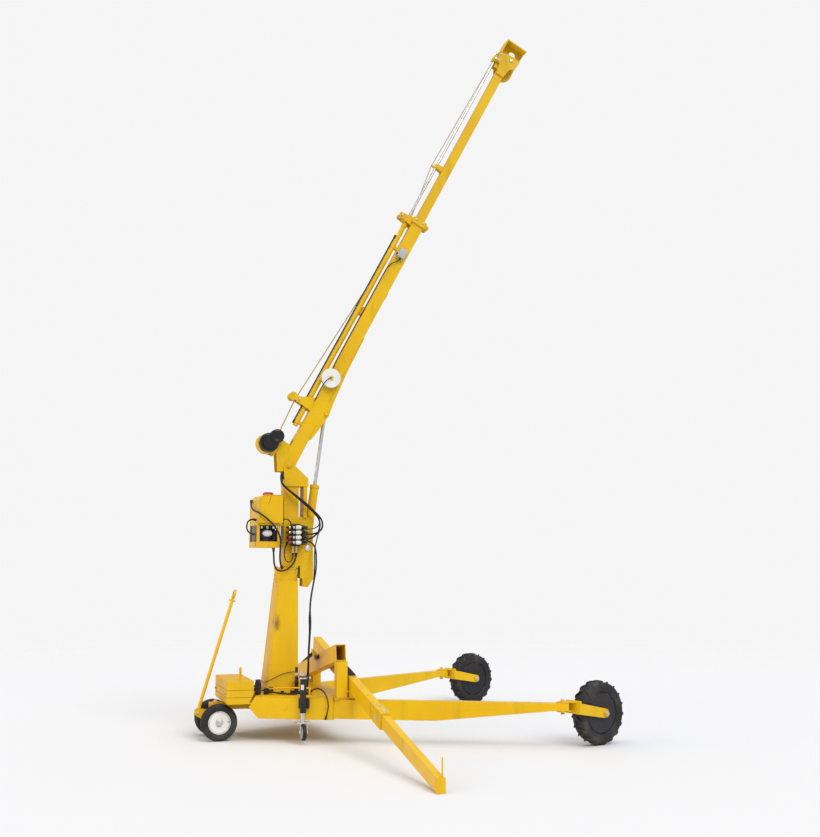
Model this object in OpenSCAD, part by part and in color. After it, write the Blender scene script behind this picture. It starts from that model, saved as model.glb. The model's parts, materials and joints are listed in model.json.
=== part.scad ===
// Wheeled slewing crane with a telescopic boom, splayed legs and crossed outriggers.
// Millimetres, +Z up, +X towards the legs, rest pose with the boom run out.

/* [Chassis] */
// X of the point where the two legs would meet
apex_x = -1605.6; // [-1800:0.1:-1400]
// angle of each leg from the X axis
leg_angle = 26.9; // [20:0.1:32]
// sideways offset of each leg line at the apex
leg_offset = 140; // [100:5:200]
// distance along a leg to its swivel pin
leg_pin_t = 3030; // [2600:10:3300]
// width of a leg
leg_w = 92; // [80:1:110]
// underside and top of a leg
leg_z = [213, 376]; // [150:1:400]
// underside and top of a leg sleeve
sleeve_z = [203, 393]; // [150:1:420]

/* [Wheels] */
// front tyre radius
front_r = 272; // [220:1:320]
// front tyre width
front_w = 130; // [90:1:180]
// front wheels stand turned by this angle
front_toe = 20; // [0:1:30]
// front axle ahead of the swivel pin
trail = 395; // [350:5:450]
// rear tyre radius
rear_r = 160; // [130:1:200]
// rear tyre distance from the middle
rear_y = 190; // [150:5:240]
// rear tyre width
rear_w = 90; // [60:1:120]
// king pin behind the apex point
rear_axle_x = 13; // [-40:1:60]

/* [Mast] */
// slewing axis ahead of the apex
slew_dx = 634; // [580:1:680]
// height of the column flange
column_top = 1400; // [1200:10:1600]
// back edge and half width of the column foot
column_foot = [447, 150]; // [100:1:500]
// upper mast tube height
mast_top = 2315; // [2000:5:2500]
// boom pin ahead of the apex, and its height
pivot = [634, 2446]; // [500:1:2600]
// lift cylinder lower pin ahead of the apex, and its height
lift_low = [824, 1685]; // [700:1:1800]

/* [Boom] */
// boom angle above level
boom_angle = 62; // [20:1:75]
// upper cylinder pin along and across the boom
lift_up = [602.8, -83.8]; // [-200:0.1:800]
// ends of the boom's two sections along the boom
section_end = [2780, 4700]; // [2000:5:5200]
// extension cylinder distance above the boom line
ext_q = 118; // [100:1:140]

/* [Outriggers] */
// slope of both outriggers
out_slope = 11.3; // [8:0.1:16]
// outrigger centre height where they cross
out_mid_z = 643; // [550:1:720]
// foot distance from the middle
foot_y = 2950; // [2400:10:3300]

/* [Hidden] */
$fn = 40;
slew_x = apex_x + slew_dx;
king_x = apex_x + rear_axle_x;
low_x = apex_x + lift_low[0];
low_z = lift_low[1];
up_x = apex_x + pivot[0] + lift_up[0] * cos(boom_angle) - lift_up[1] * sin(boom_angle);
up_z = pivot[1] + lift_up[0] * sin(boom_angle) + lift_up[1] * cos(boom_angle);
lift_len = norm([up_x - low_x, up_z - low_z]);
lift_lean = atan2(up_x - low_x, up_z - low_z);
a_x = apex_x + 1091;
b_x = apex_x + 991;
jack_t = 809;
jack_y = -110;
gap = 0.06;
YELLOW = [0.90, 0.72, 0.08];
SHADE = [0.80, 0.60, 0.06];
BLACK = [0.06, 0.06, 0.07];
STEEL = [0.75, 0.76, 0.78];
WHITE = [0.90, 0.90, 0.88];
RED = [0.70, 0.12, 0.06];

// Frames of the slanted pieces.
module leg_frame(side) {
    translate([apex_x, side * leg_offset, 0])
        rotate([0, 0, side * leg_angle])
            children();
}

module arm_frame(side) {
    leg_frame(side)
        translate([leg_pin_t, 0, 0])
            rotate([0, 0, front_toe - side * leg_angle])
                children();
}

module boom_frame() {
    translate([apex_x + pivot[0], 0, pivot[1]])
        rotate([0, -boom_angle, 0])
            children();
}

module lift_frame() {
    translate([low_x, 0, low_z])
        rotate([0, lift_lean, 0])
            children();
}

module out_frame(x, side) {
    translate([x, 0, out_mid_z])
        rotate([side * out_slope, 0, 0])
            rotate([0, 0, side > 0 ? 0 : 180])
                children();
}

// Shapes used by more than one piece.
module box(lo, hi) {
    translate(lo)
        cube([hi[0] - lo[0], hi[1] - lo[1], hi[2] - lo[2]]);
}

module y_rod(r, y0, y1) {
    translate([0, y0, 0])
        rotate([-90, 0, 0])
            cylinder(r = r, h = y1 - y0);
}

module x_rod(r, x0, x1) {
    translate([x0, 0, 0])
        rotate([0, 90, 0])
            cylinder(r = r, h = x1 - x0);
}

module y_plate(points, y0, y1) {
    translate([0, y1, 0])
        rotate([90, 0, 0])
            linear_extrude(height = y1 - y0)
                polygon(points);
}

module rod(a, b, r) {
    v = b - a;
    translate(a)
        rotate([0, acos(v[2] / norm(v)), atan2(v[1], v[0])])
            cylinder(h = norm(v), r = r, $fn = 14);
}

module hose(points, r) {
    last = len(points) - 1;
    for (i = [0 : last - 1]) {
        v = (points[i + 1] - points[i]) / norm(points[i + 1] - points[i]);
        a = points[i] + (i == 0 ? 0 : 0.5 * r) * v;
        b = points[i + 1] - (i == last - 1 ? 0 : 0.5 * r) * v;
        rod(a, b, r);
    }
    for (i = [1 : last - 1])
        translate(points[i])
            sphere(r * 1.25, $fn = 14);
}

// A hose held by a clip at each bend.
module clipped_hose(points, r) {
    last = len(points) - 1;
    for (i = [0 : last - 1]) {
        v = (points[i + 1] - points[i]) / norm(points[i + 1] - points[i]);
        rod(points[i] + (i == 0 ? 0 : 2) * v, points[i + 1] - (i == last - 1 ? 0 : 2) * v, r);
    }
    for (i = [1 : last - 1])
        box(points[i] - [12, r + 1, r + 1], points[i] + [12, r + 1, r + 1]);
}

// Chassis.
module leg_sleeve() {
    difference() {
        y_plate([[308, 296], [367, sleeve_z[1]], [1060, sleeve_z[1]], [1060, sleeve_z[0]],
            [395, sleeve_z[0]]], -56, 56);
        box([560, -leg_w / 2, leg_z[0] - 3], [1070, leg_w / 2, leg_z[1] + 3]);
        for (t = [640, 980])
            translate([t, 0, 300])
                y_rod(12 + gap, -60, 60);
    }
}

module chassis_frame() {
    color(YELLOW) {
        leg_frame(-1)
            leg_sleeve();
        leg_frame(1)
            leg_sleeve();
        difference() {
            translate([apex_x, 0, 378])
                linear_extrude(height = 15)
                    polygon([[345, -262], [945, -566], [945, 566], [345, 262]]);
            translate([slew_x, 0, 370])
                cylinder(r = 60, h = 30);
        }
        box([apex_x + 930, -700, 377], [apex_x + 1140, 700, 393]);
        box([apex_x + 945, -520, 240], [apex_x + 1110, 520, 378]);
        box([apex_x + 880, -530, 240], [apex_x + 946, 530, 379]);
        box([apex_x + 345, -245, 240], [apex_x + 400, 245, 379]);
        difference() {
            box([king_x - 58, -45, 250], [apex_x + 346, 45, 312]);
            translate([king_x, 0, 240])
                cylinder(r = 20 + gap, h = 80);
        }
        box([apex_x + 110, -45, 311], [apex_x + 346, 45, 325]);
        box([apex_x + 65, -330, 324], [apex_x + 346, 330, 334]);
    }
}

module column() {
    color(YELLOW)
        difference() {
            union() {
                box([apex_x + 412, -180, 393], [apex_x + 755, 180, 408]);
                hull() {
                    box([apex_x + column_foot[0], -column_foot[1], 407], [apex_x + 727, column_foot[1], 409]);
                    box([apex_x + 545, -116, column_top - 20], [apex_x + 727, 116, column_top - 18]);
                }
                translate([slew_x, 0, column_top - 20])
                    cylinder(r = 112, h = 20);
                translate([slew_x, 0, column_top - 1])
                    cylinder(r = 80, h = 80);
                for (y = [-150, 142])
                    y_plate([[apex_x + 726, 407], [apex_x + 752, 407], [apex_x + 726, 520]], y, y + 8);
            }
            hull() {
                box([apex_x + 459, -138, 392], [apex_x + 715, 138, 394]);
                box([apex_x + 557, -104, column_top - 32], [apex_x + 715, 104, column_top - 30]);
            }
            translate([slew_x, 0, column_top - 33])
                cylinder(r = 60, h = 120);
        }
}

module leg_body() {
    color(YELLOW)
        difference() {
            y_plate([[562, leg_z[0]], [1946, leg_z[0]], [2960, 315], [3086, 315], [3086, leg_z[1]],
                [562, leg_z[1]]], -leg_w / 2, leg_w / 2);
            y_plate([[560, leg_z[0] + 8], [1944, leg_z[0] + 8], [2900, 323], [2900, leg_z[1] - 8],
                [560, leg_z[1] - 8]], 8 - leg_w / 2, leg_w / 2 - 8);
            translate([leg_pin_t, 0, 300])
                cylinder(r = 12 + gap, h = 90);
            for (t = [640, 980])
                translate([t, 0, 300])
                    y_rod(12 + gap, -60, 60);
        }
}

module near_leg() {
    leg_frame(-1)
        leg_body();
}

module far_leg() {
    leg_frame(1)
        leg_body();
}

module leg_pins() {
    color(STEEL)
        for (side = [-1, 1])
            leg_frame(side)
                for (t = [640, 980])
                    translate([t, 0, 300])
                        mirror([0, side > 0 ? 1 : 0, 0]) {
                            y_rod(12, -58, 51);
                            y_rod(15, -60.1, -56.1);
                        }
}

// Crossed outriggers.
module gantry() {
    color(YELLOW) {
        out_frame(a_x, 1)
            difference() {
                union() {
                    box([-36, -1640, -61], [36, 640, 61]);
                    box([-40, -1690, -66], [40, -1480, 66]);
                }
                box([-30, -1700, -52], [30, 650, 52]);
            }
        out_frame(b_x, -1)
            difference() {
                union() {
                    box([-46, -1640, -71], [46, 672, 71]);
                    box([-50, -1690, -76], [50, -1480, 76]);
                }
                box([-40, -1480, -64], [40, 680, 64]);
                box([-30, -1700, -52], [30, -1470, 52]);
            }
        box([b_x - 46, -705, 393], [b_x + 50, -620, 700]);
        box([a_x - 40, 620, 393], [a_x + 40, 705, 706]);
        box([a_x - 36, -770, 393], [a_x + 36, -640, 432]);
        box([b_x - 46, 640, 393], [b_x + 46, 770, 424]);
        box([b_x + 44, -60, 590], [a_x - 34, 60, 700]);
    }
}

module gantry_gussets() {
    color(BLACK) {
        y_plate([[b_x + 50, 576], [b_x + 50, 672], [a_x + 40, 576]], -668, -658);
        y_plate([[a_x - 40, 586], [a_x - 40, 680], [b_x - 46, 586]], 658, 668);
    }
}

module out_foot(x, side) {
    color(YELLOW) {
        box([x - 32, side * foot_y - 16, 0], [x + 32, side * foot_y + 16, 106]);
        translate([x + 14, side * (foot_y - 2), 100])
            cylinder(r = 6, h = 140);
    }
}

module near_outrigger_beam() {
    color(YELLOW)
        out_frame(a_x, 1)
            difference() {
                box([-29, -2996, -51], [29, -900, 51]);
                box([-23, -2980, -45], [23, -890, 45]);
            }
    out_foot(a_x, -1);
}

module far_outrigger_beam() {
    color(YELLOW)
        out_frame(b_x, -1) {
            difference() {
                box([-29, -2996, -51], [29, -900, 51]);
                box([-23, -2980, -45], [23, -890, 45]);
            }
            for (x = [-39, 29])
                box([x, -990, -40], [x + 10, -910, 40]);
            for (z = [-63, 51])
                box([-25, -990, z], [25, -910, z + 12]);
        }
    out_foot(b_x, 1);
}

// Counterweight plates and lifting eye.
module counterweight() {
    color(SHADE)
        translate([apex_x, 0, 0]) {
            y_plate([[58, 334], [252, 334], [279, 380], [58, 380]], -330, 330);
            y_plate([[58, 383], [281, 383], [292, 402], [292, 443], [58, 443]], -330, 330);
            y_plate([[58, 446], [292, 446], [292, 522], [58, 522]], -330, 330);
            y_plate([[64, 336], [247, 336], [286, 404], [286, 520], [64, 520]], -324, 324);
            translate([195, -200, 516])
                cylinder(r = 10, h = 74);
            translate([195, -200, 606])
                rotate([0, 90, 0])
                    rotate_extrude()
                        translate([22, 0])
                            circle(r = 7, $fn = 16);
        }
}

// Black hoses and fittings at the foot of the column.
module base_hoses() {
    color(BLACK) {
        translate([apex_x + 700, -215, 393])
            cylinder(r = 34, h = 14);
        translate([apex_x + 700, -215, 407])
            cylinder(r = 17, h = 130);
        box([apex_x + 480, -236, 394], [apex_x + 590, -186, 440]);
        hose([[apex_x + 570, -210, 418], [apex_x + 630, -220, 438], [apex_x + 690, -270, 420],
            [apex_x + 760, -350, 425]], 10);
        hose([[apex_x + 500, -210, 418], [apex_x + 425, -218, 440], [apex_x + 380, -205, 404]], 10);
        hose([[apex_x + 760, -420, 470], [apex_x + 830, -540, 450], [apex_x + 885, -665, 425],
            [apex_x + 905, -705, 360], [apex_x + 885, -710, 240]], 7);
    }
}

// Front wheels.
module front_arm(side) {
    arm_frame(side)
        color(YELLOW) {
            difference() {
                union() {
                    for (z = [303, 376.2])
                        box([-34, -40, z], [92, 36, z + 11.8]);
                    box([82, -126, 286], [102, 36, 396]);
                }
                translate([0, 0, 290])
                    cylinder(r = 12, h = 110);
            }
            translate([0, 0, 290])
                cylinder(r = 12, h = 110);
            for (z = [284, 388])
                translate([0, 0, z])
                    cylinder(r = 19, h = 8);
            y_plate([[82, 286], [82, 380], [180, 360], [trail + 30, 306], [trail + 46, 272],
                [trail + 26, 238], [trail - 20, 236]], -128, -112);
            translate([92, -112, 380])
                linear_extrude(height = 10)
                    polygon([[0, 0], [0, 120], [-90, 150], [-90, 110]]);
            translate([trail, -35, front_r]) {
                y_rod(16, -95, 40);
                y_rod(26, -110, -77);
            }
        }
}

module front_tyre(side) {
    color(BLACK)
        arm_frame(side)
            translate([trail, -35, front_r])
                rotate([90, 0, 0]) {
                    rotate_extrude()
                        polygon([[176, -50], [190, -62], [225, -front_w / 2], [250, -62], [258, -48],
                            [258, 48], [250, 62], [225, front_w / 2], [190, 62], [176, 50]]);
                    for (i = [0 : 17])
                        for (s = [-1, 1])
                            rotate([0, 0, i * 20 + s * 5])
                                translate([0, 0, s * 30])
                                    rotate([s * 24, 0, 0])
                                        box([252, -9, -29], [front_r - 0.8, 9, 29]);
                }
}

module front_rim(side) {
    color(BLACK)
        arm_frame(side)
            translate([trail, -35, front_r])
                rotate([90, 0, 0])
                    difference() {
                        union() {
                            rotate_extrude()
                                polygon([[30, 4], [120, 4], [150, 22], [160, 46], [176, 50], [176, -50],
                                    [160, -46], [150, -6], [120, -8], [30, -8]]);
                            cylinder(r = 42, h = 70, center = true);
                            for (i = [0 : 9])
                                rotate([0, 0, 36 * i])
                                    translate([96, 0, 2])
                                        cylinder(r = 8, h = 12, $fn = 16);
                        }
                        cylinder(r = 16 + gap, h = 120, center = true);
                    }
}

module near_front_arm() {
    front_arm(-1);
}

module near_front_tyre() {
    front_tyre(-1);
}

module near_front_rim() {
    front_rim(-1);
}

module far_front_arm() {
    front_arm(1);
}

module far_front_tyre() {
    front_tyre(1);
}

module far_front_rim() {
    front_rim(1);
}

// Steered rear wheels and tow handle.
module rear_yoke() {
    color(YELLOW)
        translate([king_x, 0, 0]) {
            box([-40, -140, 130], [40, 140, 190]);
            box([-58, -45, 180], [58, 45, 249.8]);
            translate([0, 0, 240])
                cylinder(r = 20, h = 76);
            translate([0, 0, 312.2])
                cylinder(r = 30, h = 9);
            translate([0, 0, rear_r])
                y_rod(15, -248, 248);
            for (y = [-32, 22])
                difference() {
                    y_plate([[-38, 140], [-38, 248], [-62, 249], [-142, 258], [-184, 252], [-188, 216],
                        [-176, 202], [-70, 140]], y, y + 10);
                    translate([-162, 0, 229])
                        y_rod(10 + gap, -40, 40);
                }
        }
}

module rear_tyre(side) {
    color(BLACK)
        translate([king_x, side * rear_y, rear_r])
            rotate([90, 0, 0])
                rotate_extrude()
                    polygon([[98, -36], [112, -44], [140, -rear_w / 2], [154, -34], [rear_r, -16],
                        [rear_r, 16], [154, 34], [140, rear_w / 2], [112, 44], [98, 36]]);
}

module rear_rim(side) {
    color(WHITE)
        translate([king_x, side * rear_y, rear_r])
            rotate([90, 0, 0])
                difference() {
                    union() {
                        rotate_extrude()
                            polygon([[20, 14], [60, 14], [84, 34], [98, 36], [98, -36], [84, -34],
                                [60, -14], [20, -14]]);
                        cylinder(r = 32, h = 84, center = true);
                    }
                    cylinder(r = 15 + gap, h = 120, center = true);
                }
}

module near_rear_tyre() {
    rear_tyre(-1);
}

module near_rear_rim() {
    rear_rim(-1);
}

module far_rear_tyre() {
    rear_tyre(1);
}

module far_rear_rim() {
    rear_rim(1);
}

module tow_handle() {
    color(YELLOW)
        translate([king_x - 162, 0, 229]) {
            y_rod(10, -40, 40);
            y_rod(24, -21, 21);
            rotate([0, 16.6, 0]) {
                translate([0, 0, 16])
                    cylinder(r = 15, h = 1044);
                box([-30, -6, 1016], [30, 6, 1030]);
                difference() {
                    translate([0, 0, 1086])
                        x_rod(40, -9, 9);
                    translate([0, 0, 1088])
                        x_rod(24, -12, 12);
                }
            }
        }
}

// Tongue jack on the near sleeve.
module jack_tube() {
    color(BLACK)
        leg_frame(-1) {
            translate([jack_t, jack_y, 0])
                difference() {
                    union() {
                        translate([0, 0, 250])
                            cylinder(r = 27, h = 316);
                        translate([0, 0, 556])
                            cylinder(r = 36, h = 22);
                    }
                    translate([0, 0, 240])
                        cylinder(r = 21, h = 322);
                    translate([0, 0, 550])
                        cylinder(r = 8 + gap, h = 40);
                }
            difference() {
                box([jack_t - 45, -90, 300], [jack_t + 45, -56, 384]);
                translate([jack_t, jack_y, 290])
                    cylinder(r = 21, h = 100);
            }
        }
}

module jack_leg() {
    color(STEEL)
        leg_frame(-1)
            translate([jack_t, jack_y, 190])
                difference() {
                    cylinder(r = 21 - gap, h = 300);
                    translate([0, 0, -5])
                        cylinder(r = 10 + gap, h = 60);
                    translate([0, 0, 40])
                        cylinder(r = 14, h = 270);
                }
}

module jack_crank() {
    color(WHITE)
        leg_frame(-1)
            translate([jack_t, jack_y, 0]) {
                translate([0, 0, 563])
                    cylinder(r = 8, h = 34);
                box([-72, -9, 590], [12, 9, 600]);
                translate([-62, 0, 600])
                    cylinder(r = 9, h = 52);
            }
}

module caster_frame() {
    leg_frame(-1)
        translate([jack_t, jack_y, 0])
            rotate([0, 0, leg_angle])
                children();
}

module caster_fork() {
    color(STEEL)
        caster_frame() {
            box([-64, -46, 178], [64, 46, 189.9]);
            translate([0, 0, 185])
                cylinder(r = 10, h = 40);
            for (x = [-31, 25])
                translate([x, 0, 0])
                    rotate([0, 0, 90])
                        y_plate([[-34, 179], [30, 179], [24, 150], [-6, 92], [-40, 88], [-46, 110]], -6, 0);
            translate([0, -26, 105])
                x_rod(7, -34, 34);
        }
}

module caster_wheel() {
    color(BLACK)
        caster_frame()
            translate([0, -26, 105])
                rotate([0, 90, 0])
                    difference() {
                        rotate_extrude()
                            polygon([[0, -23], [30, -23], [34, -18], [58, -18], [69, -10], [69, 10], [58, 18],
                                [34, 18], [30, 23], [0, 23]]);
                        cylinder(r = 7 + gap, h = 60, center = true);
                    }
}

// Turning upper works.
module slew_collar() {
    color(YELLOW)
        translate([slew_x, 0, 0])
            difference() {
                union() {
                    translate([0, 0, column_top + 0.2])
                        cylinder(r = 108, h = 48);
                    translate([0, 0, column_top + 40])
                        cylinder(r = 102, h = 50);
                    for (i = [0 : 11])
                        rotate([0, 0, 30 * i + 15])
                            translate([91, 0, column_top + 88])
                                cylinder(r = 6, h = 10, $fn = 16);
                }
                translate([0, 0, column_top - 5])
                    cylinder(r = 80 + gap, h = 120);
            }
}

module upper_mast() {
    x0 = apex_x + 597;
    x1 = apex_x + 735;
    color(YELLOW) {
        difference() {
            translate([slew_x, 0, column_top + 90])
                cylinder(r = 108, h = 15);
            for (i = [0 : 11])
                translate([slew_x, 0, 0])
                    rotate([0, 0, 30 * i + 15])
                        translate([91, 0, column_top + 85])
                            cylinder(r = 6 + gap, h = 30, $fn = 16);
        }
        difference() {
            box([x0, -70, column_top + 104], [x1, 70, mast_top]);
            box([x0 + 8, -62, column_top + 106], [x1 - 8, 62, mast_top + 5]);
        }
        for (y = [-82, 70])
            difference() {
                y_plate([[x0, 2252], [x0 - 10, 2436], [x0 + 10, 2486], [x0 + 58, 2488],
                    [apex_x + 700, 2439], [apex_x + 822, 2326], [apex_x + 822, 2252]], y, y + 12);
                translate([apex_x + pivot[0], 0, pivot[1]])
                    y_rod(20 + gap, -90, 90);
            }
        box([apex_x + 778, -80, 1960], [apex_x + 812, 80, 2330]);
        for (y = [-64, 50])
            difference() {
                y_plate([[x1 - 2, 1520], [x1 - 2, 1970], [apex_x + 868, 1970], [apex_x + 876, 1700],
                    [apex_x + 880, 1400], [apex_x + 832, 1326], [apex_x + 780, 1334],
                    [apex_x + 780, 1404], [apex_x + 757, 1410], [apex_x + 757, 1520]], y, y + 14);
                translate([low_x, 0, low_z])
                    y_rod(16 + gap, -80, 80);
            }
        box([apex_x + 790, -52, 1340], [apex_x + 802, 52, 1560]);
        box([x1 - 8, -66, 1524], [x1 + 20, 66, 1560]);
    }
}

module boom_pin() {
    color(STEEL)
        translate([apex_x + pivot[0], 0, pivot[1]]) {
            y_rod(20, -98, 98);
            y_rod(28, -92, -82.2);
            y_rod(28, 82.2, 92);
        }
}

module pack_cage() {
    x0 = apex_x + 326;
    x1 = apex_x + 538;
    color(YELLOW) {
        for (x = [x0, x1 - 24])
            for (y = [-191, 167])
                box([x, y, 1686], [x + 24, y + 24, 1910]);
        for (y = [-191, 187])
            box([x0, y, 1686], [x1, y + 4, 1742]);
        for (y = [-191, 167])
            box([x0, y, 1888], [x1, y + 24, 1910]);
        for (x = [x0, x1 - 4])
            box([x, -191, 1686], [x + 4, 191, 1742]);
        for (x = [x0, x1 - 22])
            box([x, -191, 1888], [x + 22, 191, 1910]);
        box([x0, -191, 1686], [x1, 191, 1692]);
        for (y = [-60, 40])
            for (z = [1704, 1890])
                box([x1 - 5, y, z], [apex_x + 597, y + 20, z + 18]);
    }
}

module oil_tank() {
    color(YELLOW) {
        y_plate([[apex_x + 341, 1910.1], [apex_x + 341, 2120], [apex_x + 384, 2161], [apex_x + 554, 2161],
            [apex_x + 554, 1910.1]], -234, 234);
        translate([apex_x + 446, -70, 2155])
            cylinder(r = 30, h = 20);
        box([apex_x + 553, -40, 2000], [apex_x + 597, 40, 2090]);
    }
}

module tank_cap() {
    color(RED)
        translate([apex_x + 446, -70, 0])
            difference() {
                translate([0, 0, 2163])
                    cylinder(r = 46, h = 26);
                translate([0, 0, 2155])
                    cylinder(r = 30 + gap, h = 20 + gap);
            }
}

module pump_motor() {
    translate([apex_x + 412, 0, 1806]) {
        color(WHITE)
            y_rod(58, -172, 40);
        color(BLACK)
            y_rod(45, 40, 140);
        color(WHITE)
            box([-50, -110, -113.9], [50, 10, -40]);
    }
    color(BLACK)
        translate([apex_x + 505, 60, 1692.1])
            cylinder(r = 26, h = 150);
}

module valve_bank() {
    color(WHITE) {
        for (i = [0 : 3])
            box([apex_x + 645, -150, 1715 + 46 * i], [apex_x + 745, -84, 1753 + 46 * i]);
        box([apex_x + 655, -140, 1700], [apex_x + 735, -80, 1904]);
        box([apex_x + 660, -84, 1720], [apex_x + 730, -70, 1890]);
    }
    color(BLACK)
        for (i = [0 : 3])
            translate([0, -116, 1734 + 46 * i]) {
                x_rod(13, apex_x + 620, apex_x + 646);
                x_rod(11, apex_x + 744, apex_x + 752);
                for (z = [-14, 14])
                    translate([0, 26, z])
                        x_rod(7, apex_x + 744, apex_x + 790);
            }
    color(STEEL)
        for (i = [0 : 3])
            translate([apex_x + 768, -116, 1734 + 46 * i]) {
                translate([0, 0, -13])
                    cylinder(r = 4, h = 26);
                for (z = [-13, 9.2])
                    box([-24, -8, z], [8, 8, z + 3.8]);
            }
}

module valve_lever(i) {
    color(BLACK)
        translate([apex_x + 768, -116, 1734 + 46 * i])
            difference() {
                union() {
                    box([-10, -10, -9], [12, 12, 9]);
                    rod([0, -8, 0], [10, -94, 0], 4.5);
                    translate([10, -94, 0])
                        sphere(r = 12, $fn = 20);
                }
                cylinder(r = 4 + gap, h = 40, center = true);
            }
}

module valve_lever_1() {
    valve_lever(0);
}

module valve_lever_2() {
    valve_lever(1);
}

module valve_lever_3() {
    valve_lever(2);
}

module valve_lever_4() {
    valve_lever(3);
}

module pack_hoses() {
    color(BLACK) {
        for (i = [0, 1])
            hose([[apex_x + 572 - 10 * i, -94 - 20 * i, 2400], [apex_x + 584 - 6 * i, -100 - 20 * i, 2260],
                [apex_x + 905 + 20 * i, -112 - 20 * i, 1990], [apex_x + 926 + 20 * i, -112 - 20 * i, 1900],
                [apex_x + 880 + 20 * i, -90, 1769 + 46 * i], [apex_x + 790.4, -90, 1766 + 46 * i]], 8);
        hose([[apex_x + 331, 60, 2100], [apex_x + 331, -150, 2020], [apex_x + 325, -247, 2000],
            [apex_x + 362, -247, 1985],
            [apex_x + 470, -246, 1885], [apex_x + 524, -226, 1790], [apex_x + 530, -214, 1640],
            [apex_x + 512, -150, 1560]], 8);
        hose([[apex_x + 331, -70, 1940], [apex_x + 268, -64, 1930], [apex_x + 252, -74, 1870],
            [apex_x + 276, -90, 1812], [apex_x + 314, -96, 1796]], 8);
        hose([[apex_x + 564, -150, 1940], [apex_x + 600, -156, 1952], [apex_x + 632, -160, 1915],
            [apex_x + 636, -160, 1842]], 7);
        hose([[apex_x + 680, -120, 1698.6], [apex_x + 674, -130, 1600], [apex_x + 630, -140, 1530],
            [apex_x + 560, -150, 1500], [apex_x + 500, -150, 1550], [apex_x + 484, -150, 1674]], 8);
        hose([[apex_x + 714, -120, 1696.4], [apex_x + 700, -130, 1620], [apex_x + 664, -134, 1580],
            [apex_x + 624, -120, 1620], [apex_x + 614, -116, 1708]], 8);
    }
}

module drop_hose() {
    color(BLACK)
        hose([[apex_x + 794, -90, 1748], [apex_x + 856, -110, 1740], [apex_x + 880, -140, 1680],
            [apex_x + 880, -170, 1520], [apex_x + 842, -200, 1330], [apex_x + 815, -220, 1130],
            [apex_x + 822, -230, 980], [apex_x + 805, -240, 780], [apex_x + 800, -250, 560],
            [apex_x + 770, -262, 404]], 9);
}

// Lift cylinder.
module lift_barrel() {
    color(YELLOW)
        lift_frame()
            difference() {
                union() {
                    y_rod(16, -76, 76);
                    y_rod(26, -75, -64.2);
                    y_rod(26, 64.2, 75);
                    y_rod(38, -46, 46);
                    translate([0, 0, 20])
                        cylinder(r = 40, h = 560);
                    translate([0, 0, 562])
                        cylinder(r = 44, h = 30);
                }
                translate([0, 0, 56])
                    cylinder(r = 33, h = 500);
                translate([0, 0, 540])
                    cylinder(r = 17 + gap, h = 60);
            }
}

module lift_rod() {
    color(STEEL)
        lift_frame() {
            translate([0, 0, 440])
                cylinder(r = 33 - gap, h = 24);
            translate([0, 0, 452])
                cylinder(r = 17, h = lift_len - 477);
            difference() {
                translate([0, 0, lift_len])
                    y_rod(31, -24, 24);
                translate([0, 0, lift_len])
                    y_rod(16, -30, 30);
            }
        }
}

// Boom, drawn lying along X and tilted by its frame.
module section(s0, s1, q0, q1, half, wall) {
    difference() {
        box([s0, -half, q0], [s1, half, q1]);
        box([s0 - 5, wall - half, q0 + wall], [s1 + 5, half - wall, q1 - wall]);
    }
}

module boom_base() {
    color(YELLOW)
        boom_frame() {
            difference() {
                section(240, section_end[0], -52, 66, 60, 6);
                box([555, -30, -60], [660, 30, -44]);
            }
            for (y = [-68, 56])
                difference() {
                    y_plate([[-98, 66], [-74, 20], [-52, -22], [-26, -48], [19, -59], [330, -53],
                        [330, 66], [172, 72], [186, 159.9], [54, 159.9]], y, y + 12);
                    y_rod(20 + gap, -80, 80);
                }
            box([70, -58, 120], [160, 58, 132]);
            for (y = [-60, 46])
                y_plate([[319, -50], [319, -74], [479, -98], [560, -108], [600, -112], [645, -108],
                    [725, -96], [1086, -68], [1443, -60], [1443, -50]], y, y + 14);
            box([730, -60, -70], [1086, 60, -51]);
            for (y = [-80, 44])
                translate([lift_up[0], 0, lift_up[1]])
                    y_rod(16, y, y + 36);
            difference() {
                union() {
                    box([2724, -72, -66], [section_end[0] + 6, 72, 82]);
                    for (y = [-44, 46])
                        y_plate([[2734, -60], [2734, -96], [2756, -108], [2778, -96], [2778, -60]], y, y + 10);
                    translate([2756, 0, -90])
                        y_rod(9, -52, 60);
                }
                box([2710, -45, -37], [2800, 45, 51]);
            }
            box([1640, -40, 66], [1720, 40, 90]);
            box([1900, -30, -62], [1960, 30, -51]);
            for (y = [-44, 46])
                difference() {
                    union() {
                        y_plate([[560, 64], [580, 232], [580, 290], [592, 308], [614, 308], [626, 290],
                            [626, 226], [700, 64]], y, y + 10);
                        translate([603, 0, 268])
                            y_rod(40, y, y + 10);
                        y_plate([[2690, 64], [2712, 206], [2724, 220], [2750, 220], [2762, 206],
                            [2780, 64]], y, y + 10);
                    }
                    translate([603, 0, 206])
                        y_rod(8 + gap, -60, 60);
                    translate([2737, 0, 192])
                        y_rod(8 + gap, -60, 60);
                }
            translate([592, 0, 276])
                y_rod(12, -40, 50);
            translate([921, 0, 46]) {
                y_rod(12, -116, -58);
                y_rod(19, -122, -112.2);
            }
        }
}

module winch_frame() {
    color(YELLOW)
        boom_frame() {
            box([20, -68, 160], [190, 68, 168]);
            for (y = [-68, 60])
                difference() {
                    y_plate([[20, 165], [4, 260], [20, 320], [70, 358], [130, 352], [176, 300],
                        [190, 165]], y, y + 8);
                    translate([95, 0, 265])
                        y_rod(14 + gap, -90, 90);
                }
            difference() {
                translate([95, 0, 265])
                    y_rod(99, -68, 68);
                translate([95, 0, 265])
                    y_rod(93, -70, 70);
                box([95, -80, 150], [200, 80, 400]);
                box([-20, -80, 100], [200, 80, 168]);
            }
        }
}

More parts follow.
